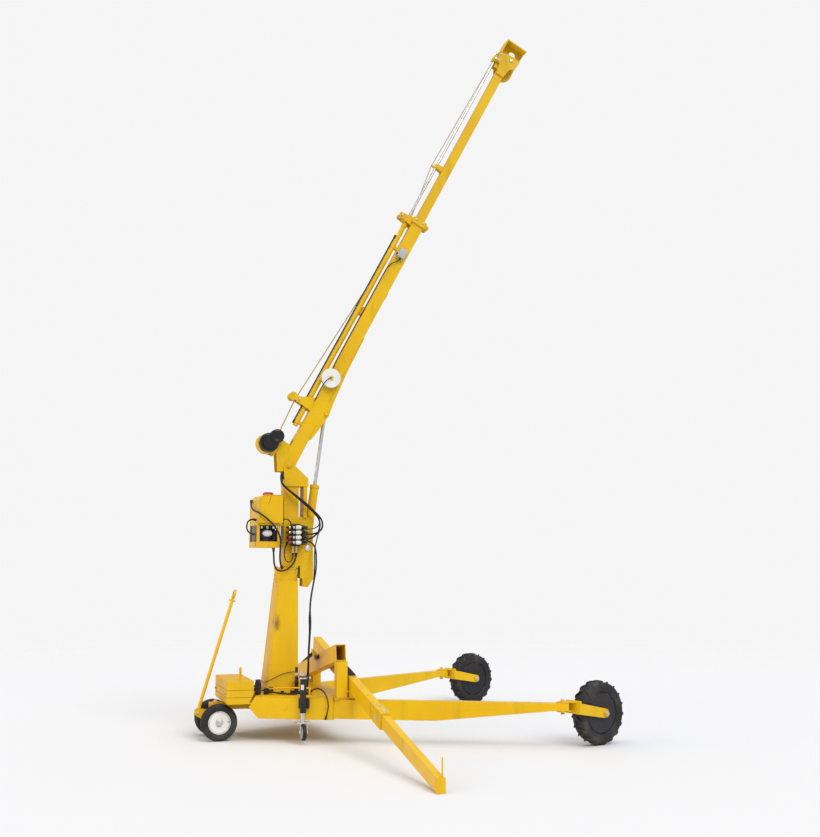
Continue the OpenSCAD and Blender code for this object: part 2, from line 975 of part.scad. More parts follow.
module winch_drum() {
    color(STEEL)
        boom_frame()
            translate([95, 0, 265]) {
                y_rod(14, -72, 80);
                y_rod(56, -50, 50);
                y_rod(82, -58, -50);
                y_rod(82, 50, 58);
            }
}

module winch_motors() {
    color(BLACK)
        boom_frame() {
            translate([95, 0, 265])
                difference() {
                    union() {
                        y_rod(88, -110, -68);
                        y_rod(60, -134, -109);
                    }
                    y_rod(14 + gap, -74, -60);
                }
            translate([176, 0, 232])
                y_rod(64, -146, -68);
        }
}

module lower_roller() {
    color(STEEL)
        boom_frame()
            translate([603, 0, 206]) {
                y_rod(20, -33, 45);
                y_rod(8, -50, 62);
            }
}

module upper_roller() {
    color(STEEL)
        boom_frame()
            translate([2737, 0, 192]) {
                y_rod(20, -33, 45);
                y_rod(8, -50, 62);
            }
}

module ext_barrel() {
    color(YELLOW)
        boom_frame() {
            translate([0, 0, ext_q]) {
                difference() {
                    union() {
                        x_rod(24, 372, 2690);
                        x_rod(27, 2650, 2692);
                    }
                    x_rod(19, 420, 2640);
                    x_rod(13 + gap, 2600, 2700);
                }
            }
            for (s = [400, 2400])
                box([s, -20, 66], [s + 30, 20, 100]);
        }
}

module junction_box() {
    color([0.62, 0.64, 0.66])
        boom_frame() {
            box([2322, -100, -24], [2418, -60, 54]);
            box([2326, -108, -20], [2414, -100, 50]);
        }
}

module cable_reel() {
    color(WHITE)
        boom_frame()
            translate([921, 0, 46])
                difference() {
                    union() {
                        y_rod(92, -80, -74);
                        y_rod(92, -112, -106);
                        y_rod(40, -107, -76);
                    }
                    y_rod(12 + gap, -120, -60);
                }
}

module boom_hose() {
    color(BLACK)
        boom_frame() {
            clipped_hose([[392, -8, 149], [440, -8, 152], [2480, -8, 152], [2530, -8, 149]], 6.5);
            clipped_hose([[2317.4, -80, 10], [2270, -78, 60], [2140, -76, 80], [1750, -48, 80],
                [1340, -48, 80]], 5);
        }
}

module winch_rope() {
    color(STEEL)
        boom_frame() {
            rod([95, 37, 203.6], [598, 37, 231.2], 5);
            rod([608, 37, 231.2], [2786, 37, 88], 5);
        }
}

// Saddle that slides on the inner section and holds up the middle of the extension rod.
module rod_guide() {
    color(YELLOW)
        boom_frame() {
            box([3365, -34, 50.6], [3418, 50, 58]);
            for (y = [-30, 22])
                y_plate([[3365, 57], [3418, 57], [3410, 124], [3373, 124]], y, y + 8);
            translate([0, 0, ext_q])
                difference() {
                    x_rod(24, 3370, 3413);
                    x_rod(13 + gap, 3360, 3420);
                }
            y_plate([[3375, 57], [3408, 57], [3402, 155.4], [3382, 155.4]], 31, 43);
            box([3375, 20, 104], [3408, 33, 124]);
        }
}

module boom_tip() {
    color(YELLOW)
        boom_frame() {
            section(2300, section_end[1], -36, 50, 44, 5);
            box([2300, -53.4, -45.4], [2306, 53.4, 59.4]);
            difference() {
                union() {
                    y_plate([[4717, -120], [4700, 76], [4770, 108], [4985, 110], [5030, 76],
                        [5012, -130], [4860, -116]], 44, 58);
                    translate([4717, 0, -22])
                        y_rod(98, 44, 58);
                }
                translate([4952, 0, -25])
                    y_rod(38, 30, 70);
                translate([4830, 0, -30])
                    y_rod(12 + gap, 30, 70);
            }
            difference() {
                y_plate([[4620, -36], [4620, 50], [4735, 66], [4745, 112], [4850, 112], [4870, 40],
                    [4884, -40], [4870, -116], [4770, -104], [4740, -60]], -58, -44);
                translate([4830, 0, -30])
                    y_rod(12 + gap, -70, -30);
            }
            box([4860, -58, 96], [5022, 58, 108]);
            box([5012, -58, -128], [5024, 58, 96]);
            for (y = [-30, 20])
                difference() {
                    union() {
                        box([4680, y, 48], [4800, y + 10, 100]);
                        box([4740, y, 90], [4800, y + 10, 146]);
                    }
                    translate([4770, 0, ext_q])
                        y_rod(9 + gap, -40, 40);
                }
            box([4690, -46, 46], [4800, 46, 60]);
        }
}

module ext_rod() {
    color(STEEL)
        boom_frame()
            translate([0, 0, ext_q]) {
                x_rod(13, 2450, 4746);
                x_rod(19 - gap, 2450, 2480);
                translate([4770, 0, 0]) {
                    y_rod(24, -19.5, 19.5);
                    y_rod(9, -38, 31);
                }
            }
}

module head_sheave() {
    color(SHADE)
        boom_frame()
            translate([4830, 0, -30])
                difference() {
                    union() {
                        y_rod(62, -16, 16);
                        y_rod(24, -43, 43);
                        y_rod(12, -64, 64);
                    }
                    rotate([90, 0, 0])
                        rotate_extrude()
                            translate([65, 0])
                                circle(r = 8, $fn = 20);
                }
}

module head_rope() {
    color(STEEL)
        boom_frame() {
            rod([2792, 37, 88.5], [3386, 37, 163], 5);
            rod([3398, 37, 163], [4888, 37, 121.6], 5);
            translate([4898, 0, 120.6])
                y_rod(12, 28, 43);
        }
}

chassis_frame();
column();
near_leg();
far_leg();
leg_pins();
gantry();
gantry_gussets();
counterweight();
base_hoses();
near_front_arm();
near_front_tyre();
near_front_rim();
far_front_arm();
far_front_tyre();
far_front_rim();
near_outrigger_beam();
far_outrigger_beam();
rear_yoke();
near_rear_tyre();
near_rear_rim();
far_rear_tyre();
far_rear_rim();
tow_handle();
jack_tube();
jack_leg();
jack_crank();
caster_fork();
caster_wheel();
slew_collar();
upper_mast();
boom_pin();
pack_cage();
oil_tank();
tank_cap();
pump_motor();
valve_bank();
valve_lever_1();
valve_lever_2();
valve_lever_3();
valve_lever_4();
pack_hoses();
drop_hose();
lift_barrel();
lift_rod();
boom_base();
winch_frame();
winch_drum();
winch_motors();
lower_roller();
upper_roller();
ext_barrel();
junction_box();
cable_reel();
boom_hose();
winch_rope();
rod_guide();
boom_tip();
ext_rod();
head_sheave();
head_rope();
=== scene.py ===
import json
import math

import bmesh
import bpy
from mathutils import Matrix, Vector

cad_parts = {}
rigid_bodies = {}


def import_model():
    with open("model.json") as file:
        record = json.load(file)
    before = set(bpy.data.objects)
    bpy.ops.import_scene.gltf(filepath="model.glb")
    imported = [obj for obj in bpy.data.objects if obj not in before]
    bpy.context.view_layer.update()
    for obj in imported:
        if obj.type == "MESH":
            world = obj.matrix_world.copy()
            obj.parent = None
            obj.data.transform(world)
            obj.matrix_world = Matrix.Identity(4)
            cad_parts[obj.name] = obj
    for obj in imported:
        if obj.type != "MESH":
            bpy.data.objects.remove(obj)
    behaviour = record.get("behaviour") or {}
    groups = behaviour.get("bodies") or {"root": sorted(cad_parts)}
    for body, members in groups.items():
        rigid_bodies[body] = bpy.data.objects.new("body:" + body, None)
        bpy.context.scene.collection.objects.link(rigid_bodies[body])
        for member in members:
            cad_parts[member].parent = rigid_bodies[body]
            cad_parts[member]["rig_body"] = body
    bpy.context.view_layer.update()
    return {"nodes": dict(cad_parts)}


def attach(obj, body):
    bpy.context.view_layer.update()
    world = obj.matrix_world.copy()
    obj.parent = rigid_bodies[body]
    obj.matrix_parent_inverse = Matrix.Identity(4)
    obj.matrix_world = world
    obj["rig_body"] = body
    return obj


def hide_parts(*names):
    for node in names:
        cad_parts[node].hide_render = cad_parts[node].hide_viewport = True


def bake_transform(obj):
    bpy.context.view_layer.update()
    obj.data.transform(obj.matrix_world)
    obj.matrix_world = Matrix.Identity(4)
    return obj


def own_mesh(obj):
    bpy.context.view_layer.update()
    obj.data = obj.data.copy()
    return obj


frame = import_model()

# Millimetres and degrees, as in the CAD source.
AX = -1605.6                        # where the chassis's own x starts
MAST_X, HINGE_Z = 634, 2446         # slewing axis, and the boom's pin on it
BOOM_ANGLE = 62
LIFT_X, LIFT_Z = 824, 1685          # lower pin of the lift cylinder
LEAN = math.radians(7.586)
LEG_SPREAD, LEG_REACH = 26.9, 3030
ARM_ANGLE = 20
FRONT_AXLE_X, FRONT_AXLE_Z = 395, 272   # on the swivel arm
REAR_AXLE_X, REAR_AXLE_Z = 13, 160
OUTRIGGER_Z, OUTRIGGER_FALL = 643, 11.3
FAR_BEAM_X, NEAR_BEAM_X = 1091, 991
VALVE_Z, VALVE_PITCH = 1734, 46
WINCH_S, WINCH_Q = 95, 265          # along the boom and square to it
SHARP = math.radians(35)            # edges sharper than this stay crisp


# Frames of the slanted pieces, from local millimetres to the row frame in metres.
def place(x, y, z, *turns):
    m = Matrix.Diagonal((0.001, 0.001, 0.001, 1)) @ Matrix.Translation((x, y, z))
    for axis, degrees in turns:
        m = m @ Matrix.Rotation(math.radians(degrees), 4, axis)
    return m


def leg(side):
    return place(AX, 140 * side, 0, ("Z", LEG_SPREAD * side))


def arm(side):
    turn = math.radians(ARM_ANGLE - LEG_SPREAD * side)
    return leg(side) @ Matrix.Translation((LEG_REACH, 0, 0)) @ Matrix.Rotation(turn, 4, "Z")


def out(x, side):
    return place(x, 0, OUTRIGGER_Z, ("X", OUTRIGGER_FALL * side), ("Z", 0 if side > 0 else 180))


WORLD = place(0, 0, 0)
CHASSIS = place(AX, 0, 0)
BOOM = place(AX + MAST_X, 0, HINGE_Z, ("Y", -BOOM_ANGLE))
LIFT = place(AX + LIFT_X, 0, LIFT_Z) @ Matrix.Rotation(LEAN, 4, "Y")


# ---------------------------------------------------------------- camera, light, floor
camera = bpy.data.objects.new("camera", bpy.data.cameras.new("camera"))
bpy.context.scene.collection.objects.link(camera)
camera.location = (-3.2633, -10.62, 1.5994)
camera.rotation_euler = (math.radians(96.83), 0, math.radians(-18.25))
camera.data.sensor_width = 36
camera.data.lens = 49.861075
camera.data.clip_end = 500
bpy.context.scene.camera = camera
bpy.context.scene.view_settings.view_transform = "Standard"


def sun(name, strength, angle, rotation, colour=(1, 1, 1)):
    light = bpy.data.objects.new(name, bpy.data.lights.new(name, "SUN"))
    light.data.energy = strength
    light.data.color = colour
    light.data.angle = math.radians(angle)
    light.rotation_euler = [math.radians(r) for r in rotation]
    bpy.context.scene.collection.objects.link(light)


sun("key", 1.5, 34, (48, 0, 14))
sun("top", 0.9, 60, (8, 0, 0))
sun("warm_side", 1.1, 50, (74, 0, -88), (1.0, 0.70, 0.45))

world = bpy.data.worlds.new("studio")
bpy.context.scene.world = world
world.use_nodes = True
nodes, links = world.node_tree.nodes, world.node_tree.links
nodes.clear()
seen, lit = nodes.new("ShaderNodeBackground"), nodes.new("ShaderNodeBackground")
seen.inputs[0].default_value = (0.915, 0.915, 0.915, 1)
lit.inputs[0].default_value = (0.60, 0.61, 0.63, 1)
ray = nodes.new("ShaderNodeLightPath")
both = nodes.new("ShaderNodeMixShader")
sky = nodes.new("ShaderNodeOutputWorld")
links.new(ray.outputs["Is Camera Ray"], both.inputs[0])
links.new(lit.outputs[0], both.inputs[1])
links.new(seen.outputs[0], both.inputs[2])
links.new(both.outputs[0], sky.inputs[0])


# ---------------------------------------------------------------- materials
class Shader:
    """A node material under construction."""

    def __init__(self, name, roughness=0.5, metallic=0.0, **constants):
        self.mat = bpy.data.materials.new(name)
        self.mat.use_nodes = True
        self.tree = self.mat.node_tree
        self.bsdf = self.tree.nodes["Principled BSDF"]
        self.bsdf.inputs["Roughness"].default_value = roughness
        self.bsdf.inputs["Metallic"].default_value = metallic
        for key, value in constants.items():
            self.bsdf.inputs[key.replace("_", " ")].default_value = value
        self.coords = self.node("ShaderNodeTexCoord").outputs["Object"]

    def node(self, kind, **settings):
        n = self.tree.nodes.new(kind)
        for key, value in settings.items():
            setattr(n, key, value)
        return n

    def link(self, a, b):
        self.tree.links.new(a, b)

    def noise(self, scale, detail=4, stretch=(1, 1, 1), rough=0.55):
        m = self.node("ShaderNodeMapping")
        m.inputs["Scale"].default_value = stretch
        self.link(self.coords, m.inputs["Vector"])
        n = self.node("ShaderNodeTexNoise")
        n.inputs["Scale"].default_value = scale
        n.inputs["Detail"].default_value = detail
        n.inputs["Roughness"].default_value = rough
        self.link(m.outputs[0], n.inputs["Vector"])
        return n.outputs["Fac"]

    def ramp(self, value, lo, hi, a=0.0, b=1.0):
        m = self.node("ShaderNodeMapRange", interpolation_type="SMOOTHSTEP")
        m.inputs["From Min"].default_value = lo
        m.inputs["From Max"].default_value = hi
        m.inputs["To Min"].default_value = a
        m.inputs["To Max"].default_value = b
        self.link(value, m.inputs["Value"])
        return m.outputs["Result"]

    def math(self, op, a, b=None):
        m = self.node("ShaderNodeMath", operation=op)
        for k, v in enumerate((a, b)):
            if isinstance(v, (int, float)):
                m.inputs[k].default_value = v
            elif v is not None:
                self.link(v, m.inputs[k])
        return m.outputs[0]

    def mix(self, factor, a, b):
        m = self.node("ShaderNodeMix", data_type="RGBA")
        self.link(factor, m.inputs["Factor"])
        for key, v in (("A", a), ("B", b)):
            socket = next(s for s in m.inputs if s.name == key and s.type == "RGBA")
            if isinstance(v, tuple):
                socket.default_value = (*v, 1)
            else:
                self.link(v, socket)
        return next(s for s in m.outputs if s.type == "RGBA")

    def edges(self, radius=0.004):
        """1 on sharp edges, 0 on flats."""
        b = self.node("ShaderNodeBevel", samples=4)
        b.inputs["Radius"].default_value = radius
        g = self.node("ShaderNodeNewGeometry")
        d = self.node("ShaderNodeVectorMath", operation="DOT_PRODUCT")
        self.link(b.outputs[0], d.inputs[0])
        self.link(g.outputs["Normal"], d.inputs[1])
        return self.ramp(self.math("ABSOLUTE", d.outputs["Value"]), 0.995, 0.90)

    def height(self, *layers, distance=0.001, soft_edges=0.0):
        """Bump from (value, strength) layers, over softened edges."""
        normal = None
        if soft_edges:
            b = self.node("ShaderNodeBevel", samples=4)
            b.inputs["Radius"].default_value = soft_edges
            normal = b.outputs[0]
        for value, strength in layers:
            n = self.node("ShaderNodeBump")
            n.inputs["Strength"].default_value = strength
            n.inputs["Distance"].default_value = distance
            self.link(value, n.inputs["Height"])
            if normal is not None:
                self.link(normal, n.inputs["Normal"])
            normal = n.outputs[0]
        self.link(normal, self.bsdf.inputs["Normal"])

    def finish(self, colour, roughness=None):
        if isinstance(colour, tuple):
            self.bsdf.inputs["Base Color"].default_value = (*colour, 1)
        else:
            self.link(colour, self.bsdf.inputs["Base Color"])
        if roughness is not None:
            self.link(roughness, self.bsdf.inputs["Roughness"])
        return self.mat


def paint(name, colour, deep, under=(0.09, 0.085, 0.08), wear=0.5, grime=0.35, stain=None, roughness=0.38):
    """Brushed and sprayed enamel with faded patches, run-down grime and chipped edges."""
    s = Shader(name, roughness, Coat_Weight=0.04, Coat_Roughness=0.25, Specular_IOR_Level=0.22)
    base = s.mix(s.ramp(s.noise(1.7, 5), 0.35, 0.68), colour, deep)
    streak = s.ramp(s.noise(9, 5, (1.0, 1.0, 0.12)), 0.52, 0.80, 0.0, grime)
    base = s.mix(streak, base, tuple(0.42 * c for c in colour))
    speck = s.ramp(s.noise(95, 3), 0.70, 0.78, 0.0, 0.55)
    base = s.mix(speck, base, tuple(0.30 * c for c in colour))
    if stain:
        spot, size = stain
        shift = s.node("ShaderNodeVectorMath", operation="SUBTRACT")
        s.link(s.coords, shift.inputs[0])
        shift.inputs[1].default_value = spot
        scale = s.node("ShaderNodeVectorMath", operation="DIVIDE")
        s.link(shift.outputs[0], scale.inputs[0])
        scale.inputs[1].default_value = size
        far = s.node("ShaderNodeVectorMath", operation="LENGTH")
        s.link(scale.outputs[0], far.inputs[0])
        patch = s.math("ADD", far.outputs["Value"], s.math("MULTIPLY", s.noise(14, 5), 1.5))
        base = s.mix(s.ramp(patch, 1.75, 0.85, 0.0, 0.75), base, (0.10, 0.075, 0.03))
    edge = s.math("MULTIPLY", s.edges(), s.ramp(s.noise(32, 5), 0.50, 0.62))
    base = s.mix(s.math("MULTIPLY", edge, wear), base, under)
    s.height((s.noise(260, 2), 0.10), (s.noise(26, 4), 0.14), distance=0.0015, soft_edges=0.004)
    return s.finish(base, s.ramp(s.noise(7, 5), 0.3, 0.7, roughness - 0.08, roughness + 0.14))


def metal(name, colour, roughness, stretch=(1, 1, 1), scale=60, spread=0.15, bump=0.06, tarnish=0.25):
    s = Shader(name, roughness, 1.0)
    base = s.mix(s.ramp(s.noise(5, 5), 0.4, 0.75, 0.0, tarnish), colour, tuple(0.45 * c for c in colour))
    s.height((s.noise(scale, 4, stretch), bump), distance=0.001, soft_edges=0.002)
    return s.finish(base, s.ramp(s.noise(scale, 4, stretch), 0.3, 0.7, roughness - spread / 2, roughness + spread))


def rubber(name, colour, roughness, dust=(0.16, 0.15, 0.13), dusty=0.35, scale=60, bump=0.25):
    s = Shader(name, roughness, Specular_IOR_Level=0.35)
    base = s.mix(s.ramp(s.noise(6, 5), 0.45, 0.80, 0.0, dusty), colour, dust)
    s.height((s.noise(scale, 4), bump), (s.noise(scale * 5, 2), 0.10), distance=0.001, soft_edges=0.002)
    return s.finish(base, s.ramp(s.noise(12, 4), 0.3, 0.7, roughness - 0.1, roughness + 0.15))


def plastic(name, colour, roughness, bump=0.08, wear=0.2):
    s = Shader(name, roughness, Specular_IOR_Level=0.5)
    base = s.mix(s.ramp(s.noise(8, 5), 0.40, 0.75, 0.0, wear), colour, tuple(0.55 * c for c in colour))
    s.height((s.noise(300, 2), bump), distance=0.0006, soft_edges=0.002)
    return s.finish(base, s.ramp(s.noise(20, 4), 0.3, 0.7, roughness - 0.05, roughness + 0.12))


def strands(name, colour, dark, pitch):
    """Wire rope: strands laid at an angle, coloured darker in the grooves between them."""
    s = Shader(name, 0.42, 0.75)
    w = s.node("ShaderNodeTexWave", bands_direction="DIAGONAL")
    w.inputs["Scale"].default_value = 1 / pitch
    w.inputs["Distortion"].default_value = 0.4
    s.link(s.coords, w.inputs["Vector"])
    s.height((w.outputs["Fac"], 0.6), distance=0.001)
    return s.finish(s.mix(s.ramp(w.outputs["Fac"], 0.15, 0.6), dark, colour))


YELLOW = (0.745, 0.465, 0.003)
DEEP = (0.69, 0.405, 0.003)
MATERIALS = {
    "yellow": paint("yellow_enamel", YELLOW, DEEP),
    "column": paint("yellow_enamel_stained", YELLOW, DEEP, stain=((-1.075, -0.13, 1.01), (0.045, 0.20, 0.10))),
    "scuffed": paint("yellow_enamel_scuffed", YELLOW, DEEP, under=(0.32, 0.31, 0.30), wear=0.9, grime=0.6),
    # painted shade: a darker, more orange copy of the yellow enamel for parts that sit in shade
    "shade": paint("yellow_enamel_painted_shade", (0.73, 0.45, 0.004), (0.66, 0.38, 0.003), grime=0.5, roughness=0.48),
    "black": paint("black_enamel", (0.016, 0.015, 0.018), (0.028, 0.026, 0.03), (0.20, 0.19, 0.18), 0.6, 0.2),
    "gusset": paint("dark_enamel", (0.030, 0.018, 0.034), (0.050, 0.032, 0.052), (0.20, 0.19, 0.18), 0.6, 0.2),
    "white": paint("white_enamel", (0.80, 0.80, 0.77), (0.72, 0.71, 0.66), (0.20, 0.18, 0.16), 0.6, 0.30),
    "tyre": rubber("tyre_rubber", (0.013, 0.013, 0.013), 0.62),
    "hose": rubber("hose_rubber", (0.010, 0.010, 0.011), 0.42, dusty=0.15, scale=140),
    "steel": metal("bright_steel", (0.62, 0.61, 0.59), 0.34),
    "zinc": metal("yellow_zinc", (0.66, 0.52, 0.24), 0.32, tarnish=0.35),
    "chrome": metal("hard_chrome", (0.80, 0.80, 0.82), 0.14, spread=0.05, bump=0.01, tarnish=0.08),
    "alloy": metal("cast_alloy", (0.80, 0.80, 0.79), 0.45, scale=220, bump=0.25, tarnish=0.12),
    "red": plastic("red_plastic", (0.48, 0.022, 0.012), 0.30),
    "gloss": plastic("black_gloss", (0.007, 0.007, 0.008), 0.12, bump=0.0, wear=0.1),
    "grey": plastic("grey_plastic", (0.42, 0.44, 0.46), 0.50),
    "rope": strands("wire_rope", (0.58, 0.42, 0.12), (0.16, 0.11, 0.03), 0.012),
}

FADE_START, FADE_END, FLOOR_HALF = 4.5, 15, 90      # metres
floor_shader = Shader("studio_floor", 0.75, Specular_IOR_Level=0.2)
away = floor_shader.node("ShaderNodeVectorMath", operation="LENGTH")
floor_shader.link(floor_shader.coords, away.inputs[0])
floor_shader.link(floor_shader.ramp(away.outputs["Value"], FADE_END, FADE_START), floor_shader.bsdf.inputs["Alpha"])
floor_shader.height((floor_shader.noise(3, 3), 0.03), distance=0.002)
floor_mesh = bpy.data.meshes.new("floor")
floor_mesh.from_pydata([(x * FLOOR_HALF, y * FLOOR_HALF, 0) for x, y in ((-1, -1), (1, -1), (1, 1), (-1, 1))],
                       [], [(0, 1, 2, 3)])
floor_mesh.materials.append(floor_shader.finish((0.735, 0.745, 0.76)))
floor = bpy.data.objects.new("floor", floor_mesh)
bpy.context.scene.collection.objects.link(floor)


def coat(names, material):
    for name in names.split():
        mesh = frame["nodes"][name].data
        mesh.materials.clear()
        mesh.materials.append(MATERIALS[material])


coat("chassis_frame near_leg far_leg near_front_arm far_front_arm rear_yoke tow_handle near_outrigger_beam "
     "far_outrigger_beam slew_collar upper_mast pack_cage oil_tank lift_barrel boom_base winch_frame ext_barrel "
     "rod_guide boom_tip leg_pins boom_pin", "yellow")
coat("column", "column")
coat("gantry", "scuffed")
# painted shade on the counterweight and the head sheave
coat("counterweight head_sheave", "shade")
coat("gantry_gussets", "gusset")
coat("near_front_rim far_front_rim jack_tube", "black")
coat("valve_bank winch_motors valve_lever_1 valve_lever_2 valve_lever_3 valve_lever_4", "gloss")
coat("near_rear_rim far_rear_rim cable_reel pump_motor", "white")
coat("caster_fork jack_leg jack_crank winch_drum lower_roller upper_roller", "steel")
coat("lift_rod ext_rod", "chrome")
coat("tank_cap", "red")
coat("junction_box", "grey")
coat("near_front_tyre far_front_tyre near_rear_tyre far_rear_tyre caster_wheel", "tyre")
coat("base_hoses pack_hoses drop_hose boom_hose", "hose")
coat("winch_rope head_rope", "rope")

# ---------------------------------------------------------------- mesh tools
gathered = {}


def facing(frame_matrix, at, axis):
    """A local frame at a point with its z along an axis."""
    turn = Vector(axis).to_track_quat("Z", "Y").to_matrix().to_4x4()
    return frame_matrix @ Matrix.Translation(at) @ turn


def add(body, material, matrix, verts, faces):
    """Puts a small solid into the one mesh of its body and material."""
    if (body, material) not in gathered:
        gathered[body, material] = bmesh.new()
    bm = gathered[body, material]
    made = [bm.verts.new(matrix @ Vector(v)) for v in verts]
    for f in faces:
        bm.faces.new([made[i] for i in f]).smooth = True


def rings(n, count, closed=False):
    faces = [[k * n + i, k * n + (i + 1) % n, (k + 1) * n + (i + 1) % n, (k + 1) * n + i]
             for k in range(count - 1) for i in range(n)]
    if not closed:
        faces += [list(range(n))[::-1], [(count - 1) * n + i for i in range(n)]]
    return faces


def lathe(body, material, matrix, profile, n=32):
    """Turns (radius, height) points round z. An open profile gets flat ends; a closed one ends where it starts."""
    closed = profile[0] == profile[-1]
    verts = [(r * math.cos(2 * math.pi * i / n), r * math.sin(2 * math.pi * i / n), h)
             for r, h in profile for i in range(n)]
    faces = rings(n, len(profile), closed)
    if closed:
        verts = verts[:-n]
        size = len(verts)
        faces = [[v % size for v in f] for f in faces]
    add(body, material, matrix, verts, faces)


def drum(body, material, matrix, r, lo, hi, edge=1.5, n=32):
    """A short cylinder with rounded rims."""
    lathe(body, material, matrix,
          [(r - edge, lo), (r - 0.3 * edge, lo + 0.3 * edge), (r, lo + edge),
           (r, hi - edge), (r - 0.3 * edge, hi - 0.3 * edge), (r - edge, hi)], n)


def block(body, material, matrix, lo, hi, edge=2.0):
    """A box with rounded edges."""
    bm = bmesh.new()
    bmesh.ops.create_cube(bm, size=1)
    for v in bm.verts:
        v.co = [l + (h - l) * (c + 0.5) for l, h, c in zip(lo, hi, v.co)]
    bmesh.ops.bevel(bm, geom=bm.edges[:], offset=edge, segments=2, profile=0.6, affect="EDGES")
    bm.verts.index_update()
    add(body, material, matrix, [v.co for v in bm.verts], [[v.index for v in f.verts] for f in bm.faces])
    bm.free()


def hexagon(body, material, matrix, across, lo, hi):
    r = across / math.sqrt(3)
    c = 0.12 * (hi - lo)
    lathe(body, material, matrix, [(r, lo), (r, hi - c), (r * 0.88, hi)], 6)


def bolt(body, frame_matrix, at, axis, across=17, height=9, material="steel"):
    m = facing(frame_matrix, at, axis)
    drum(body, material, m, across * 0.72, -0.5, 2.2, 0.5, 20)
    hexagon(body, material, m, across, 2, height)
    drum(body, material, m, across * 0.28, height - 1, height + 4, 0.8, 12)


def smooth_path(points, per=8):
    """A Catmull-Rom curve through the points."""
    p = [Vector(q) for q in points]
    p = [2 * p[0] - p[1]] + p + [2 * p[-1] - p[-2]]
    path = []
    for a, b, c, d in zip(p, p[1:], p[2:], p[3:]):
        for k in range(per):
            t = k / per
            path.append(0.5 * (2 * b + (c - a) * t + (2 * a - 5 * b + 4 * c - d) * t * t
                               + (3 * b - a - 3 * c + d) * t ** 3))
    return path + [p[-2]]


def sweep(path, radius, n=12):
    """Rings of a tube along a path; radius is a number or a function of the step."""
    verts, side = [], None
    for k, q in enumerate(path):
        along = (path[min(k + 1, len(path) - 1)] - path[max(k - 1, 0)]).normalized()
        side = (side if side else along.orthogonal())
        side = (side - side.dot(along) * along).normalized()
        across = along.cross(side)
        r = radius(k) if callable(radius) else radius
        verts += [q + r * (math.cos(2 * math.pi * i / n) * side + math.sin(2 * math.pi * i / n) * across)
                  for i in range(n)]
    return verts, rings(n, len(path))


def coil(radius, lo, rise, turns, steps):
    """Points of a winding round z, with a number of steps to each turn."""
    points = []
    for k in range(turns * steps + 1):
        a = 2 * math.pi * k / steps
        points.append(Vector((radius * math.cos(a), radius * math.sin(a), lo + rise * k / (turns * steps))))
    return points


def weld(body, matrix, *corners):
    """A painted-over weld bead with its ripples."""
    for a, b in zip(corners, corners[1:]):
        a, b = Vector(a), Vector(b)
        count = max(4, int((b - a).length / 5))
        path = [a.lerp(b, k / count) for k in range(count + 1)]
        add(body, "yellow", matrix, *sweep(path, lambda k: 3.0 + 0.7 * math.sin(2.4 * k), 8))


def riding(name, mesh, body, material):
    """Puts a finished mesh into the scene as a piece of its body."""
    mesh.set_sharp_from_angle(angle=SHARP)
    mesh.materials.append(MATERIALS[material])
    made = bpy.data.objects.new(name, mesh)
    bpy.context.scene.collection.objects.link(made)
    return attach(made, body)


def mesh_object(name, body, material, verts, faces):
    mesh = bpy.data.meshes.new(name)
    mesh.from_pydata([tuple(v) for v in verts], [], faces)
    mesh.polygons.foreach_set("use_smooth", [True] * len(mesh.polygons))
    return riding(name, mesh, body, material)


def hose(name, body, matrix, points, r, material="hose",
         ends=(True, True), stands_for=None):
    """A free hose, lead or rope from the object back to the object, with crimped fittings at the ends that show."""
    path = [matrix @ q for q in smooth_path(points)]
    r /= 1000
    made = mesh_object(name, body, material, *sweep(path, r, 14))
    if stands_for:
        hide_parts(stands_for)
    for shown, a, b in ((ends[0], path[0], path[1]), (ends[1], path[-1], path[-2])):
        if shown:
            m = facing(WORLD, 1000 * a, b - a)
            lathe(body, "gloss", m, [(r * 1250, -2), (r * 1450, 0), (r * 1450, 26), (r * 1150, 30)], 20)
            hexagon(body, "gloss", m, r * 3300, -4, 8)
    return made


# ---------------------------------------------------------------- wheels
def front_wheel(name, side):
    body = f"{name}_front_wheel"
    m = arm(side) @ Matrix.Translation((FRONT_AXLE_X, -35, FRONT_AXLE_Z)) @ Matrix.Rotation(math.pi / 2, 4, "X")
    half = [(176, 49), (180, 55), (192, 61), (206, 64), (209, 62.5), (213, 64.8), (228, 65), (240, 63),
            (250, 58.5), (256, 51), (258.5, 40), (259.5, 20), (259.5, 0)]
    profile = half + [(r, -h) for r, h in half[-2::-1]] + [half[0]]
    lathe(body, "tyre", m, profile, 96)
    stations = [(3, 258, 271.2, 0, 9), (22, 258, 271.2, 3.2, 9.5), (40, 256, 270.6, 6.6, 10),
                (55, 250, 267, 9.6, 10.5), (63, 238, 255, 11, 10.5), (65.5, 222, 226, 11.8, 9)]
    for i in range(18):
        for s in (1, -1):
            verts = []
            for h, low, top, turn, wide in stations:
                for r, w in ((low - 3, wide), (top, wide * 0.78), (top, -wide * 0.78), (low - 3, -wide)):
                    a = math.radians(20 * i + 5 * s + turn) + w / r
                    verts.append((r * math.cos(a), r * math.sin(a), s * h))
            add(body, "tyre", m, verts, rings(4, len(stations)))
    piece = flush(body, "tyre", f"{name}_front_lugged_tyre")
    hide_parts(f"{name}_front_tyre")
    for s in (1, -1):
        for i in range(10):
            a = math.radians(36 * i + 18)
            at = (96 * math.cos(a), 96 * math.sin(a), s * (6 if s > 0 else 8))
            hexagon(body, "steel", facing(m, at, (0, 0, s)), 15, 0, 7)
        lathe(body, "black", facing(m, (0, 0, 0), (0, 0, s)), [(150, 42), (157, 46), (163, 47.5), (170, 50),
              (175.5, 50.5)])
    valve = facing(m, (138, 30, 24), (0.2, 0, 1))
    lathe(body, "black", valve, [(4.5, -12), (4, 22), (5, 23), (5, 30), (2, 31)], 12)


